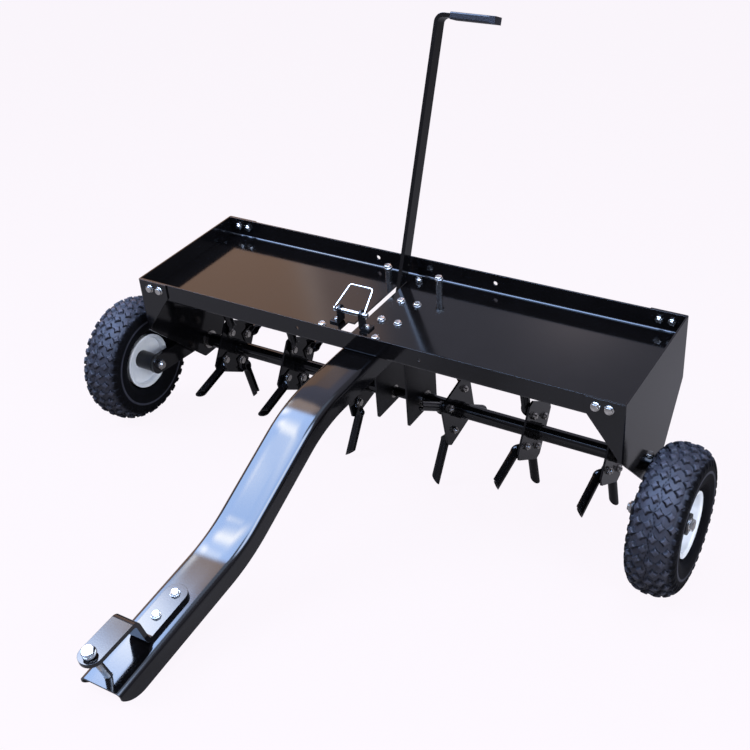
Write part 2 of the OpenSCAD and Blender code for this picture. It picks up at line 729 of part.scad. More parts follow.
// Two angle lugs beside the slot's front part
module lock_ears() {
    top = lock_z + ear_w / 2;
    foot_z = floor_top + ear_t / 2;
    color(black_paint) parked() for (k = [0, 1]) {
        out = k == 0 ? -1 : 1;
        difference() {
            intersection() {
                along_y(lock_y - ear_w / 2, lock_y + ear_w / 2)
                    strip([[ear_x[k] + out * ear_foot, foot_z], [ear_x[k], foot_z], [ear_x[k], top]],
                        ear_t, ear_t);
                union() {
                    along_x(ear_x[k] - ear_foot, ear_x[k] + ear_foot)
                        translate([lock_y - ear_w / 2, floor_top]) square([ear_w, lock_h]);
                    translate([0, lock_y, lock_z])
                        rod_x(ear_x[k] - ear_foot, ear_x[k] + ear_foot, ear_w);
                }
            }
            translate([0, lock_y, lock_z])
                rod_x(ear_x[k] - ear_t, ear_x[k] + ear_t, lock_pin_d + 2 * seat_gap);
        }
    }
}

// The bail's pivot hole is cross drilled at the lock pin's left end
bail_x = [ear_x[0] - lock_pin_past + bail_d, ear_x[1] + lock_pin_past - bail_d];
bail_off = lock_pin_d / 2 + bail_d / 2 + side_gap;
module at_bail() {
    translate([bail_x[0], lock_y, lock_z]) rotate([-bail_lean, 0, 0]) children();
}
module lock_pin() {
    color(zinc) parked() difference() {
        translate([0, lock_y, lock_z]) rod_x(ear_x[0] - lock_pin_past, ear_x[1] + lock_pin_past, lock_pin_d);
        at_bail() rotate([90, 0, 0]) cylinder(h = 2 * lock_pin_d, d = bail_d + 2 * slip, center = true);
    }
}

// Square loop of bent wire: a pivot stub through the pin, two legs and a top
module wire_bend(r) {
    rotate_extrude(angle = 90) translate([r, 0]) circle(d = bail_d);
}
module lock_bail() {
    span = bail_x[1] - bail_x[0];
    side = -bail_off;
    foot_bend = bail_off - lock_pin_d / 2;
    top_run = bail_h - bail_bend;
    color(zinc) parked() at_bail() {
        translate([0, bail_off, 0]) rotate([90, 0, 0]) cylinder(h = 2 * bail_off - foot_bend, d = bail_d);
        translate([0, side + foot_bend, foot_bend])
            rotate([-90, 0, 0]) rotate([0, 90, 0]) wire_bend(foot_bend);
        translate([0, side, foot_bend]) cylinder(h = top_run - foot_bend, d = bail_d);
        translate([bail_bend, side, top_run]) rotate([90, 0, 180]) wire_bend(bail_bend);
        translate([0, side, bail_h]) rod_x(bail_bend, span - bail_bend, bail_d);
        translate([span - bail_bend, side, top_run]) rotate([90, 0, 0]) wire_bend(bail_bend);
        translate([span, side, 0]) cylinder(h = top_run, d = bail_d);
    }
}

strap_bolt_backs = [strap_bolt_rear, strap_bolt_rear - strap_bolt_pitch];
module strap_holes() {
    for (b = strap_bolt_backs)
        at_tip() translate([0, b, -tongue_t - through])
            cylinder(h = tongue_t + strap_t + 2 * through, d = bolt_hole_d);
}

// Flat bar bent up over the tongue's tip, with round ends
module hitch_strap() {
    end_r = strap_w / 2;
    overrun = end_r + through;
    plan = concat(arc_points([0, strap_bolt_rear], end_r, 0, 180, 2 * bend_steps),
        arc_points([0, eye_back], end_r, 180, 180, 2 * bend_steps));
    color(black_paint) parked() difference() {
        at_tip() intersection() {
            along_x(-strap_w, strap_w)
                strip([[strap_bolt_rear + overrun, strap_t / 2], [riser_foot, strap_t / 2],
                    [riser_top, arm_mid_h], [eye_back, eye_mid_h] + overrun * [-cos(arm_deg), sin(arm_deg)]],
                    strap_bend, strap_t);
            along_z(-strap_t, eye_mid_h + 2 * strap_t) polygon(plan);
        }
        strap_holes();
        at_pin() translate([0, 0, pin_to_eye]) cylinder(h = 4 * strap_t, d = pin_d + 2 * slip, center = true);
    }
}
module strap_bolts() {
    color(zinc) parked() for (b = strap_bolt_backs)
        at_tip() translate([0, b, strap_t]) small_bolt(strap_t + tongue_t);
}

module hitch_pin() {
    color(zinc) parked() at_pin() difference() {
        union() {
            translate([0, 0, -pin_below]) cylinder(h = pin_seat + pin_below + through, d = pin_d);
            translate([0, 0, pin_seat]) cylinder(h = pin_head_h, d = pin_head_d);
        }
        translate([0, 0, -pin_below / 2 - tongue_t]) rotate([0, 90, 0])
            cylinder(h = 2 * pin_d, d = clip_hole_d, center = true);
    }
}

// Cross bolts that fix the cranks to the axle
clamp_x = crank_x - crank_sleeve / 2;
module clamp_holes() {
    for (x = [-clamp_x, clamp_x])
        at_axle() translate([x, 0, 0]) cylinder(h = 3 * sleeve_d, d = bolt_hole_d, center = true);
}
module clamp_bolts() {
    color(zinc) parked() for (x = [-clamp_x, clamp_x])
        at_axle() translate([x, 0, sleeve_d / 2]) small_bolt(sleeve_d);
}

// Plain cross pin that fixes the lever to the axle
module lever_pin_rod(d, reach) {
    at_lever() translate([lever_x, 0, 0]) rotate([90, 0, 0])
        cylinder(h = 2 * reach, d = d, center = true);
}
module lever_pin_hole() {
    lever_pin_rod(lever_pin_d + 2 * seat_gap, 2 * lever_eye_r);
}
module lever_pin() {
    color(zinc) parked() lever_pin_rod(lever_pin_d, lever_eye_r);
}

module shaft() {
    color(black_paint) parked() difference() {
        at_axle() rod_x(-crank_out, crank_out, shaft_d);
        clamp_holes();
        lever_pin_hole();
    }
}

// Tubes between the bushes, the lever and the stars, as [from, to] on the right and the left
star_pitch = (tray_w / 2 - star_outer_in - star_first) / 2;
star_xs = [for (k = [0 : 2]) star_first + k * star_pitch];
outer_spans = [for (k = [0 : 2])
    [star_xs[k] + star_hub_len / 2 + side_gap,
        k < 2 ? star_xs[k + 1] - star_hub_len / 2 - side_gap : end_flange_x - side_gap]];
inner_end = star_xs[0] - star_hub_len / 2 - side_gap;
right_spans = concat([[inner_flange_x + side_gap, inner_end]], outer_spans);
left_spans = concat([[lever_left + lever_sleeve / 2 + seat_gap, inner_end]], outer_spans);
module spacer(span) {
    difference() {
        rod_x(span[0], span[1], spacer_d);
        rod_x(span[0] - through, span[1] + through, sleeve_bore);
    }
}
module spacers() {
    color(black_paint) parked() at_axle() {
        for (s = right_spans) spacer(s);
        for (s = left_spans) on_side(-1) spacer(s);
    }
}

// Flat bar with an eye and sleeve at the axle, bent over at the top into the handle
module lever() {
    color(black_paint) parked() difference() {
        union() {
            at_lever() along_y(-lever_w / 2, lever_w / 2)
                strip([[lever_x, 0], [lever_x, lever_len], [lever_x + handle_len, lever_len]],
                    handle_bend, lever_t);
            at_axle() rod_x(lever_x - lever_eye_t / 2, lever_x + lever_eye_t / 2, 2 * lever_eye_r);
            at_axle() rod_x(lever_x - lever_sleeve / 2, lever_x + lever_sleeve / 2, sleeve_d);
        }
        at_axle() rod_x(lever_x - lever_sleeve, lever_x + lever_sleeve, sleeve_bore);
        lever_pin_hole();
    }
}

// Closed plastic sleeve over the handle, narrowed at its outer end
module grip() {
    end = lever_x + handle_len + grip_wall;
    start = end - grip_len;
    corner = [for (k = [0 : 3]) grip_wall];
    color(grip_grey) parked() at_lever() translate([0, 0, lever_len]) difference() {
        intersection() {
            along_x(start, end)
                polygon(rounded([[-grip_half_w, -grip_half_t], [grip_half_w, -grip_half_t],
                    [grip_half_w, grip_half_t], [-grip_half_w, grip_half_t]], corner));
            along_z(-grip_half_t, grip_half_t)
                polygon([[start, -grip_half_w], [end - grip_taper, -grip_half_w],
                    [end, -grip_half_w + grip_wall], [end, grip_half_w - grip_wall],
                    [end - grip_taper, grip_half_w], [start, grip_half_w]]);
        }
        translate([start - through, -lever_w / 2 - seat_gap, -lever_t / 2 - seat_gap])
            cube([grip_len - grip_wall + seat_gap + through, lever_w + 2 * seat_gap, lever_t + 2 * seat_gap]);
    }
}

// Flat arm from the axle to the wheel bolt, with a sleeve on the axle
module crank(side) {
    color(black_paint) parked() on_side(side) difference() {
        union() {
            at_crank() rod_x(crank_x, crank_out, crank_w);
            at_crank() translate([0, -crank_len, 0]) rod_x(crank_x, crank_out, crank_w);
            at_crank() translate([crank_x, -crank_len, -crank_w / 2]) cube([crank_t, crank_len, crank_w]);
            at_axle() rod_x(crank_x - crank_sleeve, crank_x + crank_t / 2, sleeve_d);
        }
        at_axle() rod_x(crank_x - crank_sleeve - through, crank_out + through, sleeve_bore);
        at_crank() translate([0, -crank_len, 0])
            rod_x(crank_x - through, crank_out + through, wheel_bolt_d + 2 * seat_gap);
        clamp_holes();
    }
}

// Wheel pieces are drawn on the wheel's own axis, with +Z pointing out
module at_wheel(side) {
    translate([side * wheel_x, wheel_y, wheel_z]) rotate([0, side * 90, 0]) children();
}
module wheel_bolt(side) {
    grip = hub_out + side_gap + hub_in + side_gap + crank_t;
    color(zinc) parked() at_wheel(side) translate([0, 0, hub_out + side_gap])
        hex_bolt(wheel_bolt_d, wheel_bolt_af, wheel_bolt_head_h, grip);
}

// Rounded section of a tyre, at an angle from the crown and an inset from the full outline
tyre_bead_deg = 146;
tyre_fullness = 0.83;
tyre_steps = 12;
function swell(v) = sign(v) * pow(abs(v), tyre_fullness);
function tyre_at(a, inset) = [tyre_r - tyre_section / 2 + (tyre_section / 2 - inset) * swell(cos(a)),
    (tyre_w / 2 - inset) * swell(sin(a))];
function flipped(v) = [for (p = reversed(v)) [p[0], -p[1]]];

// Half of the carcass: the tread's base from the crown to the shoulder, then the side wall to the bead
bar_third = (bar_to_deg - bar_from_deg) / 3;
base_half = [for (a = [0, (stud_inner_deg + stud_outer_deg) / 2, bar_from_deg + bar_third / 4])
    tyre_at(a, stud_h)];
shoulder = tyre_at(bar_to_deg - bar_third * 1.5, stud_h / 2);
wall_half = [for (k = [0 : 5])
    tyre_at(bar_to_deg - bar_third / 2 + (tyre_bead_deg - bar_to_deg + bar_third / 2) * k / 5, wall_below)];
carcass_half = concat(base_half, [shoulder], wall_half);
carcass = concat(flipped(carcass_half), [for (k = [1 : len(carcass_half) - 1]) carcass_half[k]]);
tyre_cavity = [for (k = [-tyre_steps : tyre_steps]) tyre_at(k * tyre_bead_deg / tyre_steps, tyre_wall)];

// Four-armed stud seen from above, and a shoulder bar seen from the side, fading into the wall
stud_outline = [for (k = [0 : 3])
    each [stud_reach * [cos(90 * k), sin(90 * k)], stud_waist * [cos(90 * k + 45), sin(90 * k + 45)]]];
bar_outline = concat(
    [for (k = [0 : 3]) tyre_at(bar_from_deg + k * bar_third, k == 3 ? stud_h : stud_below)],
    [for (k = [2 : -1 : 0]) tyre_at(bar_from_deg + k * bar_third, stud_h + stud_root)]);
module stud(a) {
    before = tyre_at(a - stud_inner_deg, 0);
    after = tyre_at(a + stud_inner_deg, 0);
    slope = atan2(before[0] - after[0], after[1] - before[1]);
    translate([tyre_at(a, 0)[0], 0, tyre_at(a, 0)[1]]) rotate([0, 90 - slope, 0])
        along_z(-stud_below - stud_h - stud_root, -stud_below) rotate(stud_turn) polygon(stud_outline);
}
module half_tread() {
    pitch = 360 / stud_count;
    for (k = [0 : stud_count - 1])
        rotate([0, 0, k * pitch]) {
            stud(stud_inner_deg);
            rotate([0, 0, pitch / 2]) stud(stud_outer_deg);
            rotate([90, 0, 0]) linear_extrude(bar_w, center = true) polygon(bar_outline);
        }
}
module tyre(side) {
    bead_out = rim_w / 2 - rim_t / 2 - side_gap - seat_gap;
    color(rubber) parked() at_wheel(side) {
        rotate_extrude($fn = 96) {
            polygon(concat(carcass, reversed(tyre_cavity)));
            for (s = [0, 1]) mirror([0, s])
                translate([rim_r + side_gap + seat_gap, bead_out - bead_w]) square([bead_h, bead_w]);
        }
        half_tread();
        rotate([0, 0, 180 / stud_count]) mirror([0, 0, 1]) half_tread();
    }
}

// Pressed steel rim: a barrel with turned lips and a dished web
module rim(side) {
    mid_r = rim_r - rim_t / 2;
    color(rim_paint) parked() at_wheel(side) rotate_extrude($fn = 96) {
        strip([[rim_lip_r, -rim_w / 2], [mid_r, -rim_w / 2], [mid_r, rim_w / 2], [rim_lip_r, rim_w / 2]],
            rim_t, rim_t);
        strip([[mid_r, dish_out], [dish_r + (dish_out - dish_in), dish_out], [dish_r, dish_in],
            [hub_d / 2 + seat_gap, dish_in]], rim_t, rim_t);
    }
}
module hub(side) {
    color(black_paint) parked() at_wheel(side) difference() {
        translate([0, 0, -hub_in]) cylinder(h = hub_in + hub_out, d = hub_d);
        translate([0, 0, -hub_in - through])
            cylinder(h = hub_in + hub_out + 2 * through, d = wheel_bolt_d + 2 * slip);
    }
}
module valve(side) {
    color(rubber) parked() at_wheel(side)
        translate([0, -(hub_d / 2 + dish_r) / 2, dish_in + rim_t / 2]) cylinder(h = valve_len, d = valve_d);
}

// Star pieces are drawn on the star's own axis, with +Z pointing to the spoons' face
function star_side(i) = i < 4 ? -1 : 1;
function star_x(i) = star_side(i) * star_xs[i < 4 ? 3 - i : i - 4];
module at_star(i) {
    at_axle() translate([star_x(i), 0, 0]) rotate([star_turns[i - 1], 0, 0])
        rotate([0, -star_side(i) * 90, 0]) children();
}
module four_ways() {
    for (k = [0 : 3]) rotate([0, 0, 90 * k]) children();
}
plate_reach = star_plate / sqrt(2);

module spoon_plate(i) {
    color(black_paint) parked() at_star(i) difference() {
        union() {
            along_z(-star_plate_t / 2, star_plate_t / 2) intersection() {
                rotate(45) square(star_plate, center = true);
                square(2 * plate_reach - star_clip, center = true);
            }
            cylinder(h = star_hub_len, d = sleeve_d, center = true);
        }
        cylinder(h = star_hub_len + 2 * through, d = shaft_bore, center = true);
        four_ways() translate([0, spoon_bolt_r, 0])
            cylinder(h = star_plate_t + 2 * through, d = bolt_hole_d, center = true);
    }
}

// Rings of a spoon: flat at the root, rolled into an open tube towards the tip
spoon_mid_r = (spoon_d - spoon_t) / 2;
spoon_tip_w = spoon_mid_r * (360 - spoon_open_deg) * PI / 180;
spoon_stations = concat([spoon_root_r],
    [for (k = [0 : 5]) spoon_curl_from + (spoon_curl_to - spoon_curl_from) * k / 5],
    [spoon_tip_r]);
function ease(v) = v * v * (3 - 2 * v);
function spoon_side(r, curl, off) = [for (k = [-4 : 4])
    let (w = spoon_root_w + (spoon_tip_w - spoon_root_w) * curl,
         bend = curl / spoon_mid_r,
         a = k / 4 * w / 2 * bend * 180 / PI,
         x = curl == 0 ? k / 4 * w / 2 : (1 / bend + off) * sin(a),
         z = curl == 0 ? -off : 1 / bend - (1 / bend + off) * cos(a),
         cut = r == spoon_tip_r ? spoon_cut * (z + spoon_t / 2) / spoon_d : 0)
    [x, r - cut, z + spoon_t / 2]];
spoon_rings = [for (r = spoon_stations)
    let (curl = ease(min(1, max(0, (r - spoon_curl_from) / (spoon_curl_to - spoon_curl_from)))))
    concat(spoon_side(r, curl, -spoon_t / 2), reversed(spoon_side(r, curl, spoon_t / 2)))];
module spoons(i) {
    color(black_paint) parked() at_star(i) four_ways() translate([0, 0, star_plate_t / 2]) difference() {
        skin(spoon_rings);
        translate([0, spoon_bolt_r, -through]) cylinder(h = spoon_t + 2 * through, d = bolt_hole_d);
    }
}
module spoon_bolts(i) {
    color(zinc) parked() at_star(i) four_ways()
        translate([0, spoon_bolt_r, star_plate_t / 2 + spoon_t]) small_bolt(star_plate_t + spoon_t);
}

tray();
end_panel(-1);  // end_panel_left
end_panel(1);  // end_panel_right
corner_bolts();
tongue();
hanger();
hanger_bolts();
tray_bolts();
posts();
axle_bushes();
lock_ears();
lock_pin();
hitch_strap();
strap_bolts();
shaft();
spacers();
lever();
grip();
crank(-1);  // crank_left
crank(1);  // crank_right
clamp_bolts();
lever_pin();
wheel_bolt(-1);  // wheel_bolt_left
wheel_bolt(1);  // wheel_bolt_right
lock_bail();
hitch_pin();
tyre(-1);  // tyre_left
tyre(1);  // tyre_right
rim(-1);  // rim_left
rim(1);  // rim_right
hub(-1);  // hub_left
hub(1);  // hub_right
valve(-1);  // valve_left
valve(1);  // valve_right
for (i = STARS) {
    spoon_plate(i);
    spoons(i);
    spoon_bolts(i);
}
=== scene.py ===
import math

import bmesh
import bpy
import numpy as np
from mathutils import Matrix, Vector


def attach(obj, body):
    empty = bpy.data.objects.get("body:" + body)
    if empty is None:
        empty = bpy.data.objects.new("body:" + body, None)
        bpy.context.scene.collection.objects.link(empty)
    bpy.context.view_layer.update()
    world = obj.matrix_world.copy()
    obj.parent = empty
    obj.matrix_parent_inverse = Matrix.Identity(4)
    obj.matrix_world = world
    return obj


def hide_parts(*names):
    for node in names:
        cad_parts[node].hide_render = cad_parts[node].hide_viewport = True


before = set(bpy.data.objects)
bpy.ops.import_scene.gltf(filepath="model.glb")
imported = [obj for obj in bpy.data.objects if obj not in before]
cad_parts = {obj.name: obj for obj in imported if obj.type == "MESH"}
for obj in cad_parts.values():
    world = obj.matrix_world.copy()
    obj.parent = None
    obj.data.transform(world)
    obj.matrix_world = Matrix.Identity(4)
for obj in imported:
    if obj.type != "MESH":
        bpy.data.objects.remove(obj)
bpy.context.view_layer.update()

MM = 0.001


# The level machine in millimetres, from the middle of the tray's front rim

AXLE = np.array([0.0, 170.0, -240.0])
CRANK_LENGTH, CRANK_SLOPE = 146.5, math.radians(5.7)
WHEEL_X, TYRE_R = 593.2, 134.0
# The tongue's top line: its height and tail, where its level part ends, and its two sloping parts
TONGUE_TOP, TONGUE_TAIL, LEVEL_END = -41.0, 212.0, -180.0
FALL_LENGTH, FALL_SLOPE = 269.0, math.radians(24.4)
FRONT_LENGTH, FRONT_SLOPE = 310.0, math.radians(5.9)
# The depth of the tongue's flanges, and the round under its nose, which leaves less of it at the tip
TONGUE_DEPTH, NOSE_DEPTH, NOSE_RUN = 38.0, 13.5, 46.0


def sloping(slope):
    """The direction backwards and up a slope."""
    return np.array([0.0, math.cos(slope), math.sin(slope)])


SIDEWAYS = np.array([1.0, 0.0, 0.0])
WHEEL_AT = AXLE - CRANK_LENGTH * sloping(-CRANK_SLOPE)
# Directions along the tongue's front part and square to it
ALONG, SQUARE = sloping(FRONT_SLOPE), sloping(FRONT_SLOPE + math.pi / 2)
LEVEL_CORNER = np.array([0.0, LEVEL_END, TONGUE_TOP])
FALL_CORNER = LEVEL_CORNER - FALL_LENGTH * sloping(FALL_SLOPE)
TIP = FALL_CORNER - FRONT_LENGTH * ALONG
NOSE_RISE = TONGUE_DEPTH - NOSE_DEPTH
NOSE_R = (NOSE_RUN ** 2 + NOSE_RISE ** 2) / (2 * NOSE_RISE)

# The tyres and the round of the nose stand on one floor, so the middles of both are as high as their
# radii. That gives the pitch about X. The machine is then set down, and moved back to lie evenly
# about the zero point.
NOSE_TO_WHEEL = WHEEL_AT - (TIP + NOSE_RUN * ALONG + (NOSE_R - TONGUE_DEPTH) * SQUARE)
PITCH = (math.asin((TYRE_R - NOSE_R) / np.linalg.norm(NOSE_TO_WHEEL))
         - math.atan2(NOSE_TO_WHEEL[2], NOSE_TO_WHEEL[1]))
SET_BACK = 169.571
SET_DOWN = TYRE_R - WHEEL_AT[1] * math.sin(PITCH) - WHEEL_AT[2] * math.cos(PITCH)
PARKED_AT = np.array([0.0, SET_BACK, SET_DOWN]) * MM


def parked(points):
    """Points of the level machine in millimetres, pitched, set down and turned to metres."""
    p = np.asarray(points, float) * MM
    c, s = math.cos(PITCH), math.sin(PITCH)
    x, y, z = p[..., 0], p[..., 1], p[..., 2]
    return np.stack([x, y * c - z * s, y * s + z * c], -1) + PARKED_AT


# Materials

def linear(hex_colour):
    """An sRGB hex colour as linear RGBA: the sRGB curve undone for each channel."""
    srgb = np.array([int(hex_colour[i:i + 2], 16) / 255 for i in (1, 3, 5)])
    rgb = np.where(srgb <= 0.04045, srgb / 12.92, ((srgb + 0.055) / 1.055) ** 2.4)
    return (*rgb, 1.0)


def feed(tree, node, wires):
    """Gives each input of a node its value, or links it to the node or socket that feeds it."""
    for socket, value in wires.items():
        if isinstance(value, bpy.types.Node):
            value = value.outputs[0]
        if isinstance(value, bpy.types.NodeSocket):
            tree.links.new(value, node.inputs[socket])
        else:
            node.inputs[socket].default_value = value


def add(tree, kind, wires=None, stops=(), **settings):
    """One shader node with its settings, what feeds its inputs and, on a ramp, its two stops."""
    made = tree.nodes.new("ShaderNode" + kind)
    for name, value in settings.items():
        setattr(made, name, value)
    feed(tree, made, wires or {})
    for point, (place, colour) in zip(made.color_ramp.elements if stops else (), stops):
        point.position = place
        point.color = linear(colour)
    return made


def finish_named(name):
    """An empty material with its tree, its shader and the Object coordinates of the piece."""
    material = bpy.data.materials.new(name)
    material.use_nodes = True
    tree = material.node_tree
    shader = tree.nodes["Principled BSDF"]
    place = add(tree, "TexCoord").outputs["Object"]
    return material, tree, shader, place


def per_metre(size_mm):
    """Noise scale at which one cell measures size_mm."""
    return 1.0 / (size_mm * MM)


def powder_coat(name, colour, lighter, rough, level, edge_mm):
    """Sprayed and baked black powder coat: a wet gloss with a faint orange peel, soft at folds."""
    material, tree, shader, place = finish_named(name)
    peel = add(tree, "TexNoise", {"Vector": place, "Scale": per_metre(2.2), "Detail": 2.0})
    cloud = add(tree, "TexNoise", {"Vector": place, "Scale": per_metre(60), "Detail": 3.0})
    bump = add(tree, "Bump", {"Height": peel, "Strength": 0.05, "Distance": 0.3 * MM})
    if edge_mm:
        feed(tree, bump, {"Normal": add(tree, "Bevel", {"Radius": edge_mm * MM}, samples=4)})
    feed(tree, shader, {
        "Base Color": add(tree, "ValToRGB", {"Fac": cloud}, [(0.3, colour), (0.75, lighter)]),
        "Roughness": add(tree, "MapRange", {"Value": cloud, "To Min": rough, "To Max": rough + 0.06}),
        "Normal": bump, "Specular IOR Level": level})
    return material


def zinc_plate(name, colour, darker, rough):
    """Bright zinc plate on machined steel: metal grey, with fine grain and cloudy passivation."""
    material, tree, shader, place = finish_named(name)
    cloud = add(tree, "TexNoise", {"Vector": place, "Scale": per_metre(7), "Detail": 4.0})
    grain = add(tree, "TexNoise", {"Vector": place, "Scale": per_metre(0.8), "Detail": 2.0})
    feed(tree, shader, {
        "Base Color": add(tree, "ValToRGB", {"Fac": cloud}, [(0.3, darker), (0.65, colour)]),
        "Roughness": add(tree, "MapRange", {"Value": cloud, "To Min": rough + 0.1, "To Max": rough}),
        "Normal": add(tree, "Bump", {"Height": grain, "Strength": 0.12, "Distance": 0.2 * MM}),
        "Metallic": 1.0})
    return material


def tyre_rubber():
    """Moulded black rubber: broad weak gloss over a fine matt grain.

    The tread has bloomed to a blue grey, which also stands in for a painted sheen of light, most on
    the studs' tops. The side walls stay black, and the studs' walls and the groove are painted black
    as shade; all these hardly shine.
    """
    material, tree, shader, place = finish_named("tyre_rubber")
    cloud = add(tree, "TexNoise", {"Vector": place, "Scale": per_metre(25), "Detail": 4.0})
    grain = add(tree, "TexNoise", {"Vector": place, "Scale": per_metre(0.9), "Detail": 3.0})
    # The attribute's share mixes black and blue grey: bloom with painted light on the studs' tops,
    # and painted shade on their walls, between them and in the groove.
    bloom_and_light = add(tree, "Attribute", attribute_name="bloom_and_shade").outputs["Fac"]
    black_and_shaded = add(tree, "ValToRGB", {"Fac": cloud}, [(0.3, "#09090b"), (0.7, "#0e0e11")])
    bloomed_and_lit = add(tree, "ValToRGB", {"Fac": cloud}, [(0.3, "#292a33"), (0.7, "#393a45")])
    # A colour mix has its factor at input 0, its two colours at 6 and 7, and its result at output 2
    mix = add(tree, "Mix", {0: bloom_and_light, 6: black_and_shaded, 7: bloomed_and_lit}, data_type="RGBA")
    feed(tree, shader, {
        "Base Color": mix.outputs[2],
        "Roughness": add(tree, "MapRange", {"Value": grain, "To Min": 0.48, "To Max": 0.62}),
        "Normal": add(tree, "Bump", {"Height": grain, "Strength": 0.25, "Distance": 0.4 * MM}),
        "Specular IOR Level": add(tree, "MapRange", {"Value": bloom_and_light, "From Max": 0.5,
                                                     "To Min": 0.03, "To Max": 0.3})})
    return material


def rim_enamel():
    """White stove enamel on pressed steel: smooth and bright, with a faint cool cloud."""
    material, tree, shader, place = finish_named("rim_enamel")
    cloud = add(tree, "TexNoise", {"Vector": place, "Scale": per_metre(30), "Detail": 3.0})
    peel = add(tree, "TexNoise", {"Vector": place, "Scale": per_metre(2.0), "Detail": 2.0})
    feed(tree, shader, {
        "Base Color": add(tree, "ValToRGB", {"Fac": cloud}, [(0.3, "#d9dfe8"), (0.7, "#eef1f6")]),
        "Roughness": add(tree, "MapRange", {"Value": cloud, "To Min": 0.28, "To Max": 0.36}),
        "Normal": add(tree, "Bump", {"Height": peel, "Strength": 0.06, "Distance": 0.3 * MM})})
    return material


def soft_plastic(name, colour, lighter, rough):
    """Dipped or moulded plastic: satin, with the fine spark grain of its mould."""
    material, tree, shader, place = finish_named(name)
    grain = add(tree, "TexNoise", {"Vector": place, "Scale": per_metre(0.7), "Detail": 2.0})
    cloud = add(tree, "TexNoise", {"Vector": place, "Scale": per_metre(18), "Detail": 3.0})
    soft_edge = add(tree, "Bevel", {"Radius": 1.2 * MM}, samples=4)
    feed(tree, shader, {
        "Base Color": add(tree, "ValToRGB", {"Fac": cloud}, [(0.3, colour), (0.7, lighter)]),
        "Roughness": add(tree, "MapRange", {"Value": grain, "To Min": rough, "To Max": rough + 0.1}),
        "Normal": add(tree, "Bump", {"Height": grain, "Strength": 0.15, "Distance": 0.3 * MM,
                                     "Normal": soft_edge})})
    return material


gloss_black = powder_coat("gloss_black_powder_coat", "#070709", "#0b0b0e", 0.07, 0.5, 0.9)
satin_black = powder_coat("satin_black_powder_coat", "#0a0a0c", "#111114", 0.3, 0.32, 0.9)
spoon_black = powder_coat("spoon_powder_coat", "#08080a", "#0d0d10", 0.14, 0.45, 0)
zinc = zinc_plate("bright_zinc_plate", "#d8d4cd", "#aeaba6", 0.2)
rubber = tyre_rubber()
enamel = rim_enamel()
grip_vinyl = soft_plastic("dipped_grip_vinyl", "#14151a", "#1d1f26", 0.32)
valve_rubber = soft_plastic("valve_rubber", "#101012", "#18181b", 0.5)

GLOSSY = ("tray", "tongue", "end_panel", "hitch_strap", "shaft", "spacers", "crank", "lever",
          "spoon_plate")
ZINC = ("bolt", "posts", "bushes", "lock_pin", "lever_pin", "lock_bail", "hitch_pin")
OTHERS = {"tyre": rubber, "rim": enamel, "grip": grip_vinyl, "valve": valve_rubber}


def finish_for(node):
    """The finish that a named CAD node is made in."""
    for start, material in OTHERS.items():
        if node.startswith(start):
            return material
    if any(word in node for word in ZINC):
        return zinc
    return gloss_black if node.startswith(GLOSSY) else satin_black


for name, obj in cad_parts.items():
    obj.data.materials.clear()
    obj.data.materials.append(finish_for(name))


# Meshes worked out on grids

# Points of a mesh that lie closer than this, in metres, are one
WELD = 2e-6


def grid_faces(rows, columns, wrap_rows, wrap_columns):
    """Quads of a rows by columns grid, joined end to end where a direction wraps."""
    i = np.arange(rows if wrap_rows else rows - 1)
    j = np.arange(columns if wrap_columns else columns - 1)
    i, j = (a.ravel() for a in np.meshgrid(i, j, indexing="ij"))
    i2, j2 = (i + 1) % rows, (j + 1) % columns
    return np.stack([i * columns + j, i2 * columns + j, i2 * columns + j2, i * columns + j2], 1)


def piece(name, points, quads, material, body, slot, crisp_deg=None):
    """A mesh object at the origin from vertex and quad arrays, riding a body.

    Doubled points are welded, faces turned outwards, and edges sharper than crisp_deg left crisp.
    """
    mesh = bpy.data.meshes.new(name)
    mesh.from_pydata(points.tolist(), [], quads.tolist())
    welded = bmesh.new()
    welded.from_mesh(mesh)
    bmesh.ops.remove_doubles(welded, verts=welded.verts, dist=WELD)
    bmesh.ops.recalc_face_normals(welded, faces=welded.faces)
    welded.to_mesh(mesh)
    welded.free()
    mesh.polygons.foreach_set("use_smooth", np.full(len(mesh.polygons), True))
    if crisp_deg:
        mesh.set_sharp_from_angle(angle=math.radians(crisp_deg))
    mesh.materials.append(material)
    mesh.update()
    made = bpy.data.objects.new(name, mesh)
    bpy.context.scene.collection.objects.link(made)
    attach(made, body)
    return made


# Tyres

TYRE_W, SECTION = 90.0, 80.0
# The power of the section's sine and cosine, under 1 for a fuller section, and where its beads lie
FULLNESS, BEAD_DEG = 0.83, 146.0
# The mesh is fine up to this angle from the crown, and has fewer columns from there to either bead
FINE_DEG, FINE_COLUMNS, BEAD_COLUMNS, SECTION_SAMPLES = 96.0, 110, 9, 801
STUDS, STEPS_A_STUD = 38, 20
# Rows of studs as millimetres from the crown, and their shift round the tyre in pitches. Every row
# has a stud at each second pitch, so that neighbouring rows are staggered.
STUD_ROWS = ((6.8, 0.0), (15.2, 1.0), (28.0, 0.0), (37.0, 1.0))
# A stud's reach to an arm's tip, the notch's distance along either arm, its turn, and its top's depth
STUD_REACH, STUD_NOTCH, STUD_TURN, STUD_TOP = 8.7, 4.9 / math.sqrt(2), math.radians(4), 0.5
# Half of the width in which a stud's wall drops, and how far out and how wide the painted shade
# along its edge lies
WALL_HALF, SHADE_OUT, SHADE_WIDTH = 0.6, 0.3, 1.0
# The fine parting groove weaves this far to each side of the crown between the two halves' studs
GROOVE_SWING, GROOVE_HALF, GROOVE_DEEP = 3.4, 1.1, 1.4
# Shoulder bars: half their width, the angles where they start and fade, and half of the widths in
# which their sides and their ends rise
BAR_HALF, BAR_FROM, BAR_FADE, BAR_WALL, BAR_RISE = 5.2, 58.0, (74.0, 82.0), 0.7, 0.8
# Depth of the bare carcass under the full outline, by degrees from the crown
CARCASS = ((0, 5.8), (51, 5.8), (68, 2.8), (82, 1.75), (100, 1.75), (146, 1.1))
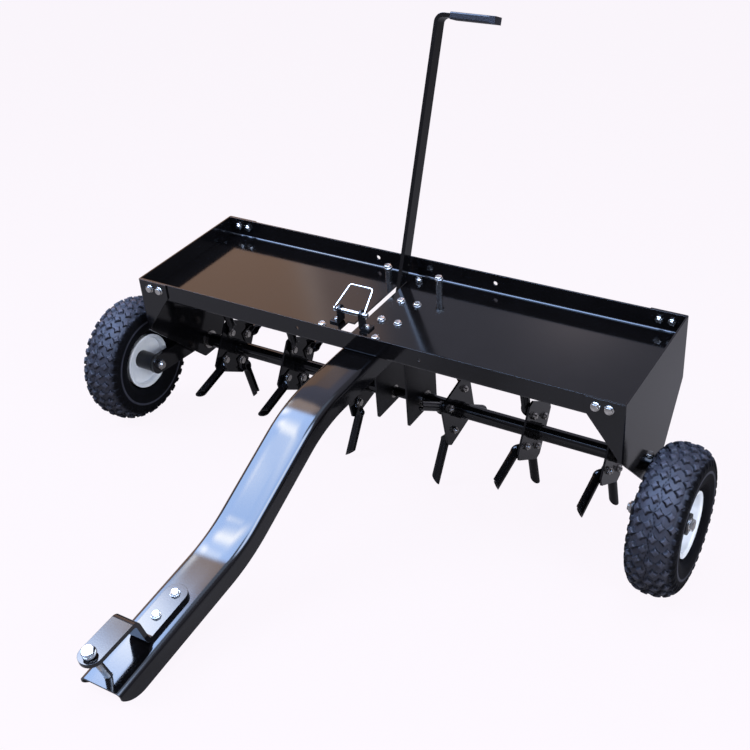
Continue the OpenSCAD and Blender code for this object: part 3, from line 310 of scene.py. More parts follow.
# The side wall's rings: angles, height, and where a ring and the first one's pale band fall away
RING_DEG, RING_HIGH, RING_EDGE, PALE_EDGE = (90.0, 118.0), 0.8, (0.3, 1.8), (0.8, 2.2)
# Bloom between the studs, kept below the tops' as painted shade, and the angles over which the
# tread's bloom dies away
SHADED_BLOOM_BETWEEN_STUDS, BLOOM_FADE = 0.65, (46.0, 66.0)


def step(value, low, high):
    """A smooth step from 0 at low to 1 at high: three squares of the share less two cubes."""
    t = np.clip((value - low) / (high - low), 0, 1)
    return t * t * (3 - 2 * t)


def swell(value):
    """A sine or cosine raised to the tyre's fullness, with its sign kept."""
    return np.sign(value) * np.abs(value) ** FULLNESS


def tyre_points(side):
    """A turf tyre in millimetres about its own centre: a rounded section carried round the axle.

    The section is drawn in to the carcass and stands out again where the tread is. A stud is a
    four pointed star: folded to one eighth, a point is inside it by its distance from the line
    between an arm's tip and the next notch. The two halves of the tread lie one pitch apart, and a
    fine groove weaves between them as a cosine. Shoulder bars start at the tips of the last row and
    fade on the side wall, which carries two fine rings. Each point also gets a share of bloom, which
    also carries painted light and shade. The studs' tops get the most, as painted light, and the
    first ring gets a pale band. The floor between the studs gets less, as painted shade. The studs'
    walls and the groove get none, so they are painted black as shade, and the side walls get none.
    """
    across = np.radians(np.concatenate([
        np.linspace(-BEAD_DEG, -FINE_DEG, BEAD_COLUMNS, endpoint=False),
        np.linspace(-FINE_DEG, FINE_DEG, FINE_COLUMNS, endpoint=False),
        np.linspace(FINE_DEG, BEAD_DEG, BEAD_COLUMNS + 1)]))
    around = np.arange(STUDS * STEPS_A_STUD) * (2 * math.pi / (STUDS * STEPS_A_STUD))
    pitch = 2 * math.pi * TYRE_R / STUDS
    fine = np.radians(np.linspace(0, BEAD_DEG, SECTION_SAMPLES))
    line = np.stack([(SECTION / 2) * swell(np.cos(fine)), (TYRE_W / 2) * swell(np.sin(fine))], 1)
    run = np.concatenate([[0], np.cumsum(np.linalg.norm(np.diff(line, axis=0), axis=1))])

    def run_at(degrees):
        """Distance along the section from the crown to an angle."""
        return np.interp(np.radians(degrees), fine, run)

    u, out = np.meshgrid(around * TYRE_R, run_at(np.degrees(np.abs(across))), indexing="ij")
    groove = np.sign(across) * out + GROOVE_SWING * np.cos(math.pi * u / pitch)
    groove = np.exp(-(groove / GROOVE_HALF) ** 2)
    u = u - np.where(across < 0, pitch, 0)

    def from_nearest(shift, every):
        """Distance round the tyre from the nearest of places that lie a number of pitches apart."""
        return (u - shift * pitch + every * pitch / 2) % (every * pitch) - every * pitch / 2

    tread, wall_shade = np.zeros_like(u), np.zeros_like(u)
    for from_crown, shift in STUD_ROWS:
        x, y = from_crown - out, from_nearest(shift, 2)
        arm = np.abs(x * math.cos(STUD_TURN) + y * math.sin(STUD_TURN))
        other = np.abs(y * math.cos(STUD_TURN) - x * math.sin(STUD_TURN))
        arm, other = np.maximum(arm, other), np.minimum(arm, other)
        inside = STUD_NOTCH * (STUD_REACH - arm) - (STUD_REACH - STUD_NOTCH) * other
        inside = inside / math.hypot(STUD_NOTCH, STUD_REACH - STUD_NOTCH)
        tread = np.maximum(tread, step(inside, -WALL_HALF, WALL_HALF))
        wall_shade = np.maximum(wall_shade, np.exp(-((inside + SHADE_OUT) / SHADE_WIDTH) ** 2))
    bar = 1 - step(np.abs(from_nearest(0, 1)), BAR_HALF - BAR_WALL, BAR_HALF + BAR_WALL)
    start = run_at(BAR_FROM)
    bar = bar * step(out, start - BAR_RISE, start + BAR_RISE) * (1 - step(out, *run_at(BAR_FADE)))
    tread = np.maximum(tread, bar)
    base = np.interp(np.degrees(np.abs(across)), *zip(*CARCASS))
    ring = sum(1 - step(np.abs(out - run_at(d)), *RING_EDGE) for d in RING_DEG)
    inset = base + (STUD_TOP - base) * tread + GROOVE_DEEP * groove * (1 - tread) - RING_HIGH * ring
    radial = TYRE_R - SECTION / 2 + (SECTION / 2 - inset) * swell(np.cos(across))
    axial = (TYRE_W / 2 - inset) * swell(np.sin(across))
    turn = (side * (around - math.pi / 2))[:, None]
    # Painted light and shade: the studs' tops get the most, the floor between them less, and their
    # walls and the groove none, so that these render black.
    bloom_and_shade = (SHADED_BLOOM_BETWEEN_STUDS + (1 - SHADED_BLOOM_BETWEEN_STUDS) * tread) * (1 - wall_shade) * (1 - groove)
    bloom_and_shade = bloom_and_shade * (1 - step(out, *run_at(BLOOM_FADE)))
    bloom_and_shade = np.maximum(bloom_and_shade, 1 - step(np.abs(out - run_at(RING_DEG[0])), *PALE_EDGE))
    return np.stack([side * axial, radial * np.cos(turn), radial * np.sin(turn)], -1), bloom_and_shade


for side, word in ((-1, "left"), (1, "right")):
    points, bloom_and_shade = tyre_points(side)
    rows, columns = points.shape[:2]
    points = parked(points.reshape(-1, 3) + WHEEL_AT + side * WHEEL_X * SIDEWAYS)
    tyre = piece("treaded_tyre_" + word, points, grid_faces(rows, columns, True, True), rubber,
                 "wheel_" + word, "tyre_rubber")
    # The attribute holds the tread's bloom together with painted light on the studs' tops and painted
    # shade on their walls, between them and in the groove.
    tyre.data.attributes.new("bloom_and_shade", "FLOAT", "POINT").data.foreach_set("value", bloom_and_shade.ravel())
    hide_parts("tyre_" + word)


# Tongue

TONGUE_HALF, TONGUE_T, TONGUE_EDGE, TONGUE_BEND = 40.0, 3.0, 10.0, 300.0
# Each bend as its corner and the slopes behind and in front of it
TONGUE_BENDS = ((LEVEL_CORNER, 0.0, FALL_SLOPE), (FALL_CORNER, FALL_SLOPE, FRONT_SLOPE))
# The hitch pin's hole: half of the square of mesh round it, its radius, its place and its lean
HOLE_HALF, HOLE_R, HOLE_BACK, HOLE_LEAN = 12.0, 6.6, 20.0, math.radians(11.13)
# Points of an arc of the tongue, of its edge round, of a side of the hole's square and beside that
ARC_POINTS, EDGE_POINTS, HOLE_STEPS, NOSE_POINTS = 41, 9, 12, 5


def tongue_stations():
    """Rows of y, z, heading and flange depth along the tongue's top line, from tail to tip.

    Straight runs are joined by arcs that touch both: along an arc the heading turns evenly, and
    the point is the arc's start plus the radius times the change of the heading's sine and cosine.
    Under the nose the flange depth follows a circle.
    """
    rows = [np.array([[TONGUE_TAIL, TONGUE_TOP, math.pi, TONGUE_DEPTH]])]
    for corner, behind, ahead in TONGUE_BENDS:
        before, turn = math.pi + behind, ahead - behind
        way = math.copysign(TONGUE_BEND, turn)
        touch = TONGUE_BEND * math.tan(abs(turn) / 2)
        heading = before + turn * np.linspace(0, 1, ARC_POINTS)
        y = corner[1] - touch * math.cos(before) + way * (np.sin(heading) - math.sin(before))
        z = corner[2] - touch * math.sin(before) - way * (np.cos(heading) - math.cos(before))
        rows.append(np.stack([y, z, heading, np.full_like(y, TONGUE_DEPTH)], 1))
    hole = np.linspace(HOLE_BACK + HOLE_HALF, HOLE_BACK - HOLE_HALF, HOLE_STEPS + 1)
    back = np.concatenate([np.linspace(NOSE_RUN, hole[0], NOSE_POINTS)[:-1], hole,
                           np.linspace(hole[-1], 0, NOSE_POINTS)[1:]])
    depth = TONGUE_DEPTH - NOSE_R + np.sqrt(NOSE_R ** 2 - (NOSE_RUN - back) ** 2)
    at = TIP + back[:, None] * ALONG
    rows.append(np.stack([at[:, 1], at[:, 2], np.full_like(back, math.pi + FRONT_SLOPE), depth], 1))
    return np.concatenate(rows)


def tongue_section(depth):
    """The channel's section at each flange depth: outside from flange to flange, then back inside.

    Either side is a flange, a quarter round of its own radius, and the web, which has a point at
    each line of the hole's square.
    """
    bend = np.linspace(0, math.pi / 2, EDGE_POINTS)
    web = np.linspace(HOLE_HALF, -HOLE_HALF, HOLE_STEPS + 1)
    sides = []
    for radius in (TONGUE_EDGE, TONGUE_EDGE - TONGUE_T):
        x = TONGUE_HALF - TONGUE_EDGE + radius * np.cos(bend)
        h = -TONGUE_EDGE + radius * np.sin(bend)
        x = np.concatenate([x[:1], x, web, -x[::-1], -x[:1]])
        h = np.concatenate([h, np.full_like(web, h[-1]), h[::-1]])
        edge = -depth[:, None]
        h = np.concatenate([edge, np.repeat(h[None], len(depth), 0), edge], 1)
        sides.append(np.stack([np.repeat(x[None], len(depth), 0), h], -1))
    return np.concatenate([sides[0], sides[1][:, ::-1]], 1)


def pressed_tongue():
    """The channel's section carried along its stations, with the hitch pin's hole in the web.

    Round the hole a square of quads is left out on both faces, and each point of its border is
    joined to the point of the hole's edge that lies in its direction.
    """
    stations = tongue_stations()
    section = tongue_section(stations[:, 3])
    heading = stations[:, None, 2]
    x, h = section[..., 0], section[..., 1]
    grid = np.stack([x, stations[:, None, 0] + h * np.sin(heading),
                     stations[:, None, 1] - h * np.cos(heading)], -1)
    rows, columns = grid.shape[:2]
    last = columns // 2 - 1
    first_row, first_column = rows - NOSE_POINTS - HOLE_STEPS, EDGE_POINTS + 1
    quads = grid_faces(rows, columns, False, True)
    row, column = quads[:, 0] // columns, quads[:, 0] % columns
    first_under = columns - 1 - first_column - HOLE_STEPS
    in_rows = (row >= first_row) & (row < first_row + HOLE_STEPS)
    near_hole = (column >= first_column) & (column < first_column + HOLE_STEPS)
    under_hole = (column >= first_under) & (column < first_under + HOLE_STEPS)
    quads = quads[~(in_rows & (near_hole | under_hole))]
    j = np.arange(last)
    cap = np.stack([j, j + 1, columns - 2 - j, columns - 1 - j], 1)
    quads = np.concatenate([quads, cap, cap + (rows - 1) * columns])

    k = np.arange(HOLE_STEPS)
    r = np.concatenate([k * 0, k, k * 0 + HOLE_STEPS, HOLE_STEPS - k]) + first_row
    c = np.concatenate([k, k * 0 + HOLE_STEPS, HOLE_STEPS - k, k * 0]) + first_column
    border = np.stack([r * columns + c, r * columns + columns - 1 - c])
    points = grid.reshape(-1, 3)
    edges = []
    for loop, height in zip(border, (0.0, -TONGUE_T)):
        middle = TIP + (HOLE_BACK - height * math.tan(HOLE_LEAN)) * ALONG + height * SQUARE
        away = points[loop] - middle
        angle = np.arctan2(away @ ALONG, away[:, 0])[:, None]
        edges.append(middle + HOLE_R * (np.cos(angle) * SIDEWAYS + np.sin(angle) * ALONG))
    ring = len(points) + np.arange(2 * len(r)).reshape(2, -1)
    following = np.roll(np.arange(len(r)), -1)
    patches = [np.stack([a, a[following], b[following], b], 1)
               for a, b in ((border[0], ring[0]), (border[1], ring[1]), (ring[0], ring[1]))]
    return parked(np.concatenate([points, *edges])), np.concatenate([quads, *patches])


CRISP_DEG = 32
tongue = piece("pressed_tongue", *pressed_tongue(), gloss_black, "frame", "black_paint", CRISP_DEG)
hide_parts("tongue")


# Fasteners

# Points round a fastener, and the height of the tray's floor on the level machine
ROUND, FLOOR_TOP = 48, -38.0
UP = (0.0, 0.0, 1.0)
# The common bolt, and how far any bolt's rod runs into its head
BOLT_D, BOLT_AF, BOLT_HEAD, BOLT_TAIL, ROD_LAP = 8.0, 13.0, 5.5, 3.0, 0.1
# Threads are drawn at about one and a half times their pitch so that they show
THREAD_PITCH, THREAD_DEPTH, POINTS_A_PITCH = 2.2, 0.55, 6
# A hexagon's end: the turned face against the flats, the cone's slope, and the sunk middle's size.
# Its rings start just outside its corners, so that these are cut sharp.
FACE_SHARE, CONE_SLOPE, CONE_POINTS, SUNK_SHARE, SUNK, SPARE = 0.93, 0.58, 5, 0.9, 0.15, 0.01
# A washer face's radius against the width across flats, its thickness against the head, and the
# height at which the head starts in it
WASHER_SHARE, WASHER_THICK, HEAD_FROM = 0.66, 0.3, 0.25


def spun(rings, across_flats=None):
    """(radius, height) rings carried round Z.

    With a width across flats each ring is cut to a hexagon: its radius is the smaller of its own
    and half that width over the cosine of the angle from the nearest flat.
    """
    rings = np.asarray(rings, float)
    turn = np.arange(ROUND) * (2 * math.pi / ROUND)
    radius = np.repeat(rings[None, :, 0], ROUND, 0)
    if across_flats:
        from_flat = turn % (math.pi / 3) - math.pi / 6
        radius = np.minimum(radius, (across_flats / 2 / np.cos(from_flat))[:, None])
    height = np.repeat(rings[None, :, 1], ROUND, 0)
    return np.stack([radius * np.cos(turn)[:, None], radius * np.sin(turn)[:, None], height], -1)


def nut_rings(across_flats, low, high, both_ends):
    """Rings of a hexagon whose corners are turned off by a cone at the top, or at both ends."""
    corner = across_flats / 2 / math.cos(math.pi / 6) + SPARE
    face = across_flats / 2 * FACE_SHARE
    chamfer = (corner - face) * CONE_SLOPE
    cone = [(corner - (corner - face) * t, high - chamfer + chamfer * t)
            for t in np.linspace(0, 1, CONE_POINTS)]
    foot = [(face, low), (corner, low + chamfer)] if both_ends else [(corner, low)]
    return [(0, low), *foot, *cone, (face * SUNK_SHARE, high - SUNK), (0, high - SUNK)]


def flange_rings(radius, low, thick):
    """Rings of the washer face under a head: flat below, rounded over towards the hexagon."""
    return [(0, low), (radius, low), (radius, low + thick / 2), (radius * FACE_SHARE, low + thick),
            (0, low + thick)]


def threaded(diameter, low, high):
    """A threaded rod: its radius falls by a saw of the height in pitches less the turn."""
    turn = np.arange(ROUND) * (2 * math.pi / ROUND)
    height = np.linspace(low, high, max(3, int((high - low) / THREAD_PITCH * POINTS_A_PITCH)))
    saw = np.abs(2 * ((height[None] / THREAD_PITCH - turn[:, None] / (2 * math.pi)) % 1) - 1)
    radius = diameter / 2 - THREAD_DEPTH * saw
    height = np.repeat(height[None], ROUND, 0)
    rod = np.stack([radius * np.cos(turn)[:, None], radius * np.sin(turn)[:, None], height], -1)
    ends = [spun([(0, z)]) for z in (low, high)]
    return np.concatenate([ends[0], rod, ends[1]], 1)


def bolt(diameter, across_flats, head, grip):
    """A flanged hexagon bolt, its head's seat at zero, with its nut and the threaded end beyond."""
    return [spun(flange_rings(across_flats * WASHER_SHARE, 0, head * WASHER_THICK)),
            spun(nut_rings(across_flats, head * HEAD_FROM, head, False), across_flats),
            spun(nut_rings(across_flats, -grip - head, -grip, True), across_flats),
            threaded(diameter, -grip - head - BOLT_TAIL, ROD_LAP)]


def placed(shapes, at, axis):
    """Shapes drawn on Z, turned so that Z lies along an axis, and moved to a point."""
    turned = np.array(Vector(axis).to_track_quat("Z", "Y").to_matrix())
    return [shape @ turned.T + np.asarray(at, float) for shape in shapes]


def hardware(name, shapes, body, *nodes, material=zinc, slot="zinc"):
    """One piece from closed grids on the level machine, in place of CAD nodes."""
    points, quads, count = [], [], 0
    for shape in shapes:
        rows, columns = shape.shape[:2]
        points.append(parked(shape.reshape(-1, 3)))
        quads.append(grid_faces(rows, columns, True, False) + count)
        count += rows * columns
    made = piece(name, np.concatenate(points), np.concatenate(quads), material, body, slot, CRISP_DEG)
    if nodes:
        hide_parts(*nodes)


def small_bolts(spots):
    """Bolts of the common size at (point, axis, grip) spots."""
    return [shape for at, axis, grip in spots
            for shape in placed(bolt(BOLT_D, BOLT_AF, BOLT_HEAD, grip), at, axis)]


# Two bolts at each corner of the tray, from the front lip's face and the rear lip's
CORNER_X, CORNER_Z, CORNER_GRIP = (484.0, 460.0), -16.0, 6.0
LIP_FACES = ((-3.0, -1), (305.0, 1))
corner_spots = [((side * x, y, CORNER_Z), (0, way, 0), CORNER_GRIP)
                for side in (-1, 1) for x in CORNER_X for y, way in LIP_FACES]
hardware("corner_fasteners", small_bolts(corner_spots), "frame", "corner_bolts")

# Four bolts hold the hanger and the tongue's tail, and two more stand near the front lip
HANGER_X, HANGER_Y, HANGER_GRIP = (-18.0, 18.0), (117.0, 192.0), 10.0
FRONT_BOLTS = ((-112.0, 54.0, 3.0), (6.0, 54.0, 6.0))
hanger_places = [(x, y, HANGER_GRIP) for y in HANGER_Y for x in HANGER_X]
floor_spots = [((x, y, FLOOR_TOP), UP, grip) for x, y, grip in (*hanger_places, *FRONT_BOLTS)]
hardware("floor_fasteners", small_bolts(floor_spots), "frame", "hanger_bolts", "tray_bolts")

STRAP_T, STRAP_BACKS = 8.0, (182.0, 135.0)
strap_spots = [(TIP + back * ALONG + STRAP_T * SQUARE, SQUARE, STRAP_T + TONGUE_T)
               for back in STRAP_BACKS]
hardware("strap_fasteners", small_bolts(strap_spots), "frame", "strap_bolts")

PIN_R, PIN_BELOW, PIN_SEAT, PIN_AF, PIN_HEAD = 6.0, 22.0, 69.8, 19.0, 9.0
PIN_CHAMFER, PIN_LAP, PIN_WASHER_R, PIN_WASHER_T, PIN_HEAD_FROM = 1.5, 1.0, 11.4, 2.0, 1.5
pin_axis = SQUARE * math.cos(HOLE_LEAN) - ALONG * math.sin(HOLE_LEAN)
hitch_bolt = [spun([(0, -PIN_BELOW), (PIN_R - PIN_CHAMFER, -PIN_BELOW),
                    (PIN_R, PIN_CHAMFER - PIN_BELOW), (PIN_R, PIN_SEAT + PIN_LAP),
                    (0, PIN_SEAT + PIN_LAP)]),
              spun(flange_rings(PIN_WASHER_R, PIN_SEAT, PIN_WASHER_T)),
              spun(nut_rings(PIN_AF, PIN_SEAT + PIN_HEAD_FROM, PIN_SEAT + PIN_HEAD, False), PIN_AF)]
hitch_bolt = placed(hitch_bolt, TIP + HOLE_BACK * ALONG, pin_axis)
hardware("hitch_bolt", hitch_bolt, "hitch_pin", "hitch_pin")

# Each post is a long bolt through a tube and a washer that stand on the tray's floor
POST_R, POST_H, POST_WASHER, POST_LEDGE, POST_CHAMFER, TRAY_T = 6.5, 32.0, 2.0, 2.0, 0.6, 3.0
POST_X, POST_Y = (-78.0, 36.0), 248.0
post_tube = spun([(0, 0), (POST_R, 0), (POST_R, POST_H - POST_CHAMFER),
                  (POST_R - POST_CHAMFER, POST_H), (0, POST_H)])
post_washer = spun(flange_rings(POST_R + POST_LEDGE, POST_H, POST_WASHER))
post_bolt = placed(bolt(BOLT_D, BOLT_AF, BOLT_HEAD, POST_H + POST_WASHER + TRAY_T),
                   (0, 0, POST_H + POST_WASHER), UP)
posts = [shape for x in POST_X
         for shape in placed([post_tube, post_washer, *post_bolt], (x, POST_Y, FLOOR_TOP), UP)]
hardware("standing_bolts", posts, "frame", "posts")

# A bolt's threaded end with its nut behind the lever
REAR_NUT_AT, REAR_NUT_H, REAR_END = (-25.3, 276.0, FLOOR_TOP), 6.5, 11.0
rear_nut = [threaded(BOLT_D, 0.0, REAR_END), spun(nut_rings(BOLT_AF, 0.0, REAR_NUT_H, True), BOLT_AF)]
hardware("rear_nut", placed(rear_nut, REAR_NUT_AT, UP), "frame")

# A small screw on each lock ear's foot
EAR_X, EAR_Y, EAR_T = (-93.5, -25.5), 78.0, 4.0
SCREW_AF, SCREW_HEAD, SCREW_WASHER_R, SCREW_WASHER_T = 8.0, 4.0, 5.0, 1.0
ear_screw = [spun(nut_rings(SCREW_AF, 0.0, SCREW_HEAD, False), SCREW_AF),
             spun(flange_rings(SCREW_WASHER_R, 0.0, SCREW_WASHER_T))]
hardware("ear_screws", [shape for x in EAR_X
                        for shape in placed(ear_screw, (x, EAR_Y, FLOOR_TOP + EAR_T), UP)], "frame")

CLAMP_X, CLAMP_UP = 519.8, 17.0
clamp_spots = [(AXLE + (x, 0, CLAMP_UP), UP, 2 * CLAMP_UP) for x in (-CLAMP_X, CLAMP_X)]
hardware("clamp_fasteners", small_bolts(clamp_spots), "lift", "clamp_bolts")


# Spoon stars

STAR_X = (-438.0, -274.5, -111.0, 111.0, 274.5, 438.0)
STAR_TURNS = (13, 13, -34, -34, 12, 14)
SPOON_BOLT_R, SPOON_FACE, SPOON_GRIP = 42.0, 4.5, 6.5
# Each star's number, place, the way its spoons' side faces, and its spoons' angles
stars = [(i, x, -math.copysign(1, x), np.radians(turn + 90 * np.arange(4)))
         for i, (x, turn) in enumerate(zip(STAR_X, STAR_TURNS), 1)]
for i, x, face, angles in stars:
    spots = [(AXLE + (x + face * SPOON_FACE, SPOON_BOLT_R * math.cos(a), SPOON_BOLT_R * math.sin(a)),
              (face, 0, 0), SPOON_GRIP) for a in angles]
    hardware(f"spoon_fasteners_{i}", small_bolts(spots), f"star_{i}", f"spoon_bolts_{i}")

# A spoon's root, its tip and the stretch where it curls, from the axle, and its thickness
SPOON_ROOT, SPOON_TIP, SPOON_CURL, SPOON_T = 29.0, 155.0, (44.0, 68.0), 2.5
# The root's width, the tube's radius and how far round it reaches, and the mouth's slanting cut
SPOON_ROOT_W, SPOON_MID_R, SPOON_ROUND, SPOON_CUT = 24.0, 7.7, math.radians(306), 16.0
# The flat root counts as this share of the full bend, so that it has a radius too
LEAST_CURL = 1e-3
# Half the thickness of a star's plate
PLATE_HALF = 2.0
# Points of a spoon along its flat root, its curl and its tube, and across its width
ROOT_POINTS, CURL_POINTS, TUBE_POINTS, WIDTH_POINTS = 4, 18, 10, 29


def rolled_spoon():
    """One spoon as a closed grid of points across the plate, out from the axle and off the plate.

    A flat strip whose bend grows by a smooth step until it is an open tube: a point at a share k
    of the width lies at the angle k times width over radius on an arc that touches the plate.
    Inside and outside lie half the thickness to either side, and meet at both ends. The mouth is
    cut on a slant in proportion to the height off the plate.
    """
    out = np.concatenate([[SPOON_ROOT],
                          np.linspace(SPOON_ROOT, SPOON_CURL[0], ROOT_POINTS)[:-1],
                          np.linspace(*SPOON_CURL, CURL_POINTS)[:-1],
                          np.linspace(SPOON_CURL[1], SPOON_TIP, TUBE_POINTS), [SPOON_TIP]])
    curl = np.maximum(step(out, *SPOON_CURL), LEAST_CURL)
    thick = np.where(np.arange(len(out)) % (len(out) - 1) == 0, 0.0, SPOON_T)
    width = SPOON_ROOT_W + (SPOON_MID_R * SPOON_ROUND - SPOON_ROOT_W) * curl
    share = np.linspace(-0.5, 0.5, WIDTH_POINTS)[:, None]
    angle, radius = share * width * curl / SPOON_MID_R, SPOON_MID_R / curl
    sides = []
    for way in (-0.5, 0.5):
        across = np.sin(angle) * (radius + way * thick)
        height = radius - (radius + way * thick) * np.cos(angle) + SPOON_T / 2
        slant = SPOON_CUT * height / (2 * SPOON_MID_R + SPOON_T)
        cut = slant * step(out, SPOON_CURL[1], SPOON_TIP)
        sides.append(np.stack([across, np.broadcast_to(out, across.shape) - cut, height], -1))
    return np.concatenate([sides[0], sides[1][::-1]])


spoon = rolled_spoon()
for i, x, face, angles in stars:
    shapes = []
    for a in angles:
        ways = np.array([[0, -math.sin(a), math.cos(a)], [0, math.cos(a), math.sin(a)], [face, 0, 0]])
        shapes.append(spoon @ ways + AXLE + (x + face * PLATE_HALF, 0, 0))
    hardware(f"rolled_spoons_{i}", shapes, f"star_{i}", f"spoons_{i}",
             material=spoon_black, slot="black_paint")


# Wheel bolts and rims

WHEEL_BOLT_D, WHEEL_BOLT_AF, WHEEL_BOLT_HEAD = 14.0, 19.0, 8.0
WHEEL_BOLT_GRIP, WHEEL_BOLT_SEAT = 96.8, 31.4
# The rim's inner half, a shallow dish between the barrel and the hub, as radius and height rings
RIM_DISH = ((0, -15), (30, -15), (45, -22), (52, -23), (52, -20.5), (45, -19.5), (30, -12.5),
            (0, -12.5))
for side, word in ((-1, "left"), (1, "right")):
    wheel_axis = np.array([side, 0.0, 0.0])
    wheel_at = WHEEL_AT + WHEEL_X * wheel_axis
    wheel_bolt = bolt(WHEEL_BOLT_D, WHEEL_BOLT_AF, WHEEL_BOLT_HEAD, WHEEL_BOLT_GRIP)
    wheel_bolt = placed(wheel_bolt, wheel_at + WHEEL_BOLT_SEAT * wheel_axis, wheel_axis)
    hardware("wheel_stud_" + word, wheel_bolt, "lift", "wheel_bolt_" + word)
    hardware("rim_inner_half_" + word, placed([spun(RIM_DISH)], wheel_at, wheel_axis),
             "wheel_" + word, material=enamel, slot="rim_paint")


# Bail

LOCK_AT, BAIL_LEAN = np.array([-92.0, 78.0, -10.0]), math.radians(55)
BAIL_R, BAIL_OFF, BAIL_H, BAIL_SPAN, BAIL_BEND = 1.7, 7.1, 52.0, 65.0, 5.0
# How far the bail's two legs lean in at the top
LEFT_LEAN, RIGHT_LEAN = 11.5, 4.0


def rounded(corners, reach, steps=8):
    """A line through corners, each rounded by a parabola that leaves and meets it at a reach."""
    corners = np.asarray(corners, float)
    line, t = [corners[:1]], np.linspace(0, 1, steps)[:, None]
    for before, at, after in zip(corners, corners[1:], corners[2:]):
        start = at + (before - at) / np.linalg.norm(before - at) * reach
        end = at + (after - at) / np.linalg.norm(after - at) * reach
        line.append((1 - t) ** 2 * start + 2 * t * (1 - t) * at + t ** 2 * end)
    return np.concatenate([*line, corners[-1:]])


def swept_wire(line, radius, sides=14):
    """Round wire along a line: a ring square to it at each point, turned as little as possible."""
    ways = np.gradient(line, axis=0)
    ways = ways / np.linalg.norm(ways, axis=1)[:, None]
    turn = (np.arange(sides) * (2 * math.pi / sides))[:, None]
    square = np.cross(ways[0], SIDEWAYS)
    rings = [np.repeat(line[:1], sides, 0)]
    for at, way in zip(line, ways):
        square = square - way * (square @ way)
        square = square / np.linalg.norm(square)
        other = np.cross(way, square)
        rings.append(at + radius * (np.cos(turn) * square + np.sin(turn) * other))
    rings.append(np.repeat(line[-1:], sides, 0))
    return np.stack(rings, 1)


bail_corners = [(0, BAIL_OFF, 0), (0, -BAIL_OFF, 0), (LEFT_LEAN, -BAIL_OFF, BAIL_H),
                (BAIL_SPAN - RIGHT_LEAN, -BAIL_OFF, BAIL_H), (BAIL_SPAN, -BAIL_OFF, 0)]
bail_ways = np.array([[1, 0, 0], [0, math.cos(BAIL_LEAN), -math.sin(BAIL_LEAN)],
                      [0, math.sin(BAIL_LEAN), math.cos(BAIL_LEAN)]])
bail = swept_wire(rounded(bail_corners, BAIL_BEND), BAIL_R)
hardware("bail_wire", [bail @ bail_ways + LOCK_AT], "lock_bail", "lock_bail")


# Floor, painted reflections and lamps

PALE = "#fdf8fe"


def seen_rays(tree):
    """1 for camera, glossy and transmission rays, 0 for the rest."""
    path = add(tree, "LightPath").outputs
    both = add(tree, "Math", {0: path["Is Camera Ray"], 1: path["Is Glossy Ray"]},
               operation="MAXIMUM")
    return add(tree, "Math", {0: both, 1: path["Is Transmission Ray"]}, operation="MAXIMUM")


def bare_material(name):
    """A material that holds only its output, with its tree and that output."""
    material = bpy.data.materials.new(name)
    material.use_nodes = True
    tree = material.node_tree
    tree.nodes.remove(tree.nodes["Principled BSDF"])
    return material, tree, tree.nodes["Material Output"]


def pale_floor():
    """Pale seamless paper: it glows white where it is looked at, and keeps part of the shadow.

    In reflections less of it glows, so that they show the lit paper and the shade on it.
    """
    material, tree, output = bare_material("pale_floor")
    lit = add(tree, "BsdfDiffuse", {"Color": linear("#9a989e")})
    glow = add(tree, "Emission", {"Color": linear(PALE), "Strength": 1.07})
    looked_at = add(tree, "LightPath").outputs["Is Camera Ray"]
    share = add(tree, "MapRange", {"Value": looked_at, "To Min": 0.05, "To Max": 0.9})
    paper = add(tree, "MixShader", {0: share, 1: lit, 2: glow})
    feed(tree, output, {"Surface": add(tree, "MixShader", {0: seen_rays(tree), 1: lit, 2: paper})})
    return material


def stage_piece(name, points, quads, material):
    """A mesh of the room, which belongs to no body."""
    mesh = bpy.data.meshes.new(name)
    mesh.from_pydata(np.asarray(points).tolist(), [], np.asarray(quads).tolist())
    mesh.materials.append(material)
    made = bpy.data.objects.new(name, mesh)
    bpy.context.scene.collection.objects.link(made)
    return made


FLOOR_HALF = 60.0
floor_corners = [(x * FLOOR_HALF, y * FLOOR_HALF, 0) for x, y in ((-1, -1), (1, -1), (1, 1), (-1, 1))]
stage_piece("floor", floor_corners, [(0, 1, 2, 3)], pale_floor())


def painted_reflection_material():
    """Painted reflections: a glowing dome that only shows as a reflection, its colours painted on its
    points.
    """
    material, tree, output = bare_material("painted_reflections")
    paint = add(tree, "Attribute", attribute_name="reflection_paint").outputs["Color"]
    feed(tree, output, {"Surface": add(tree, "Emission", {"Color": paint, "Strength": 1.0})})
    return material


def band(value, low, high, soft):
    """1 between low and high, falling to 0 over a soft width at either end."""
    soft = soft / 2
    return step(value, low - soft, low + soft) * (1 - step(value, high - soft, high + soft))


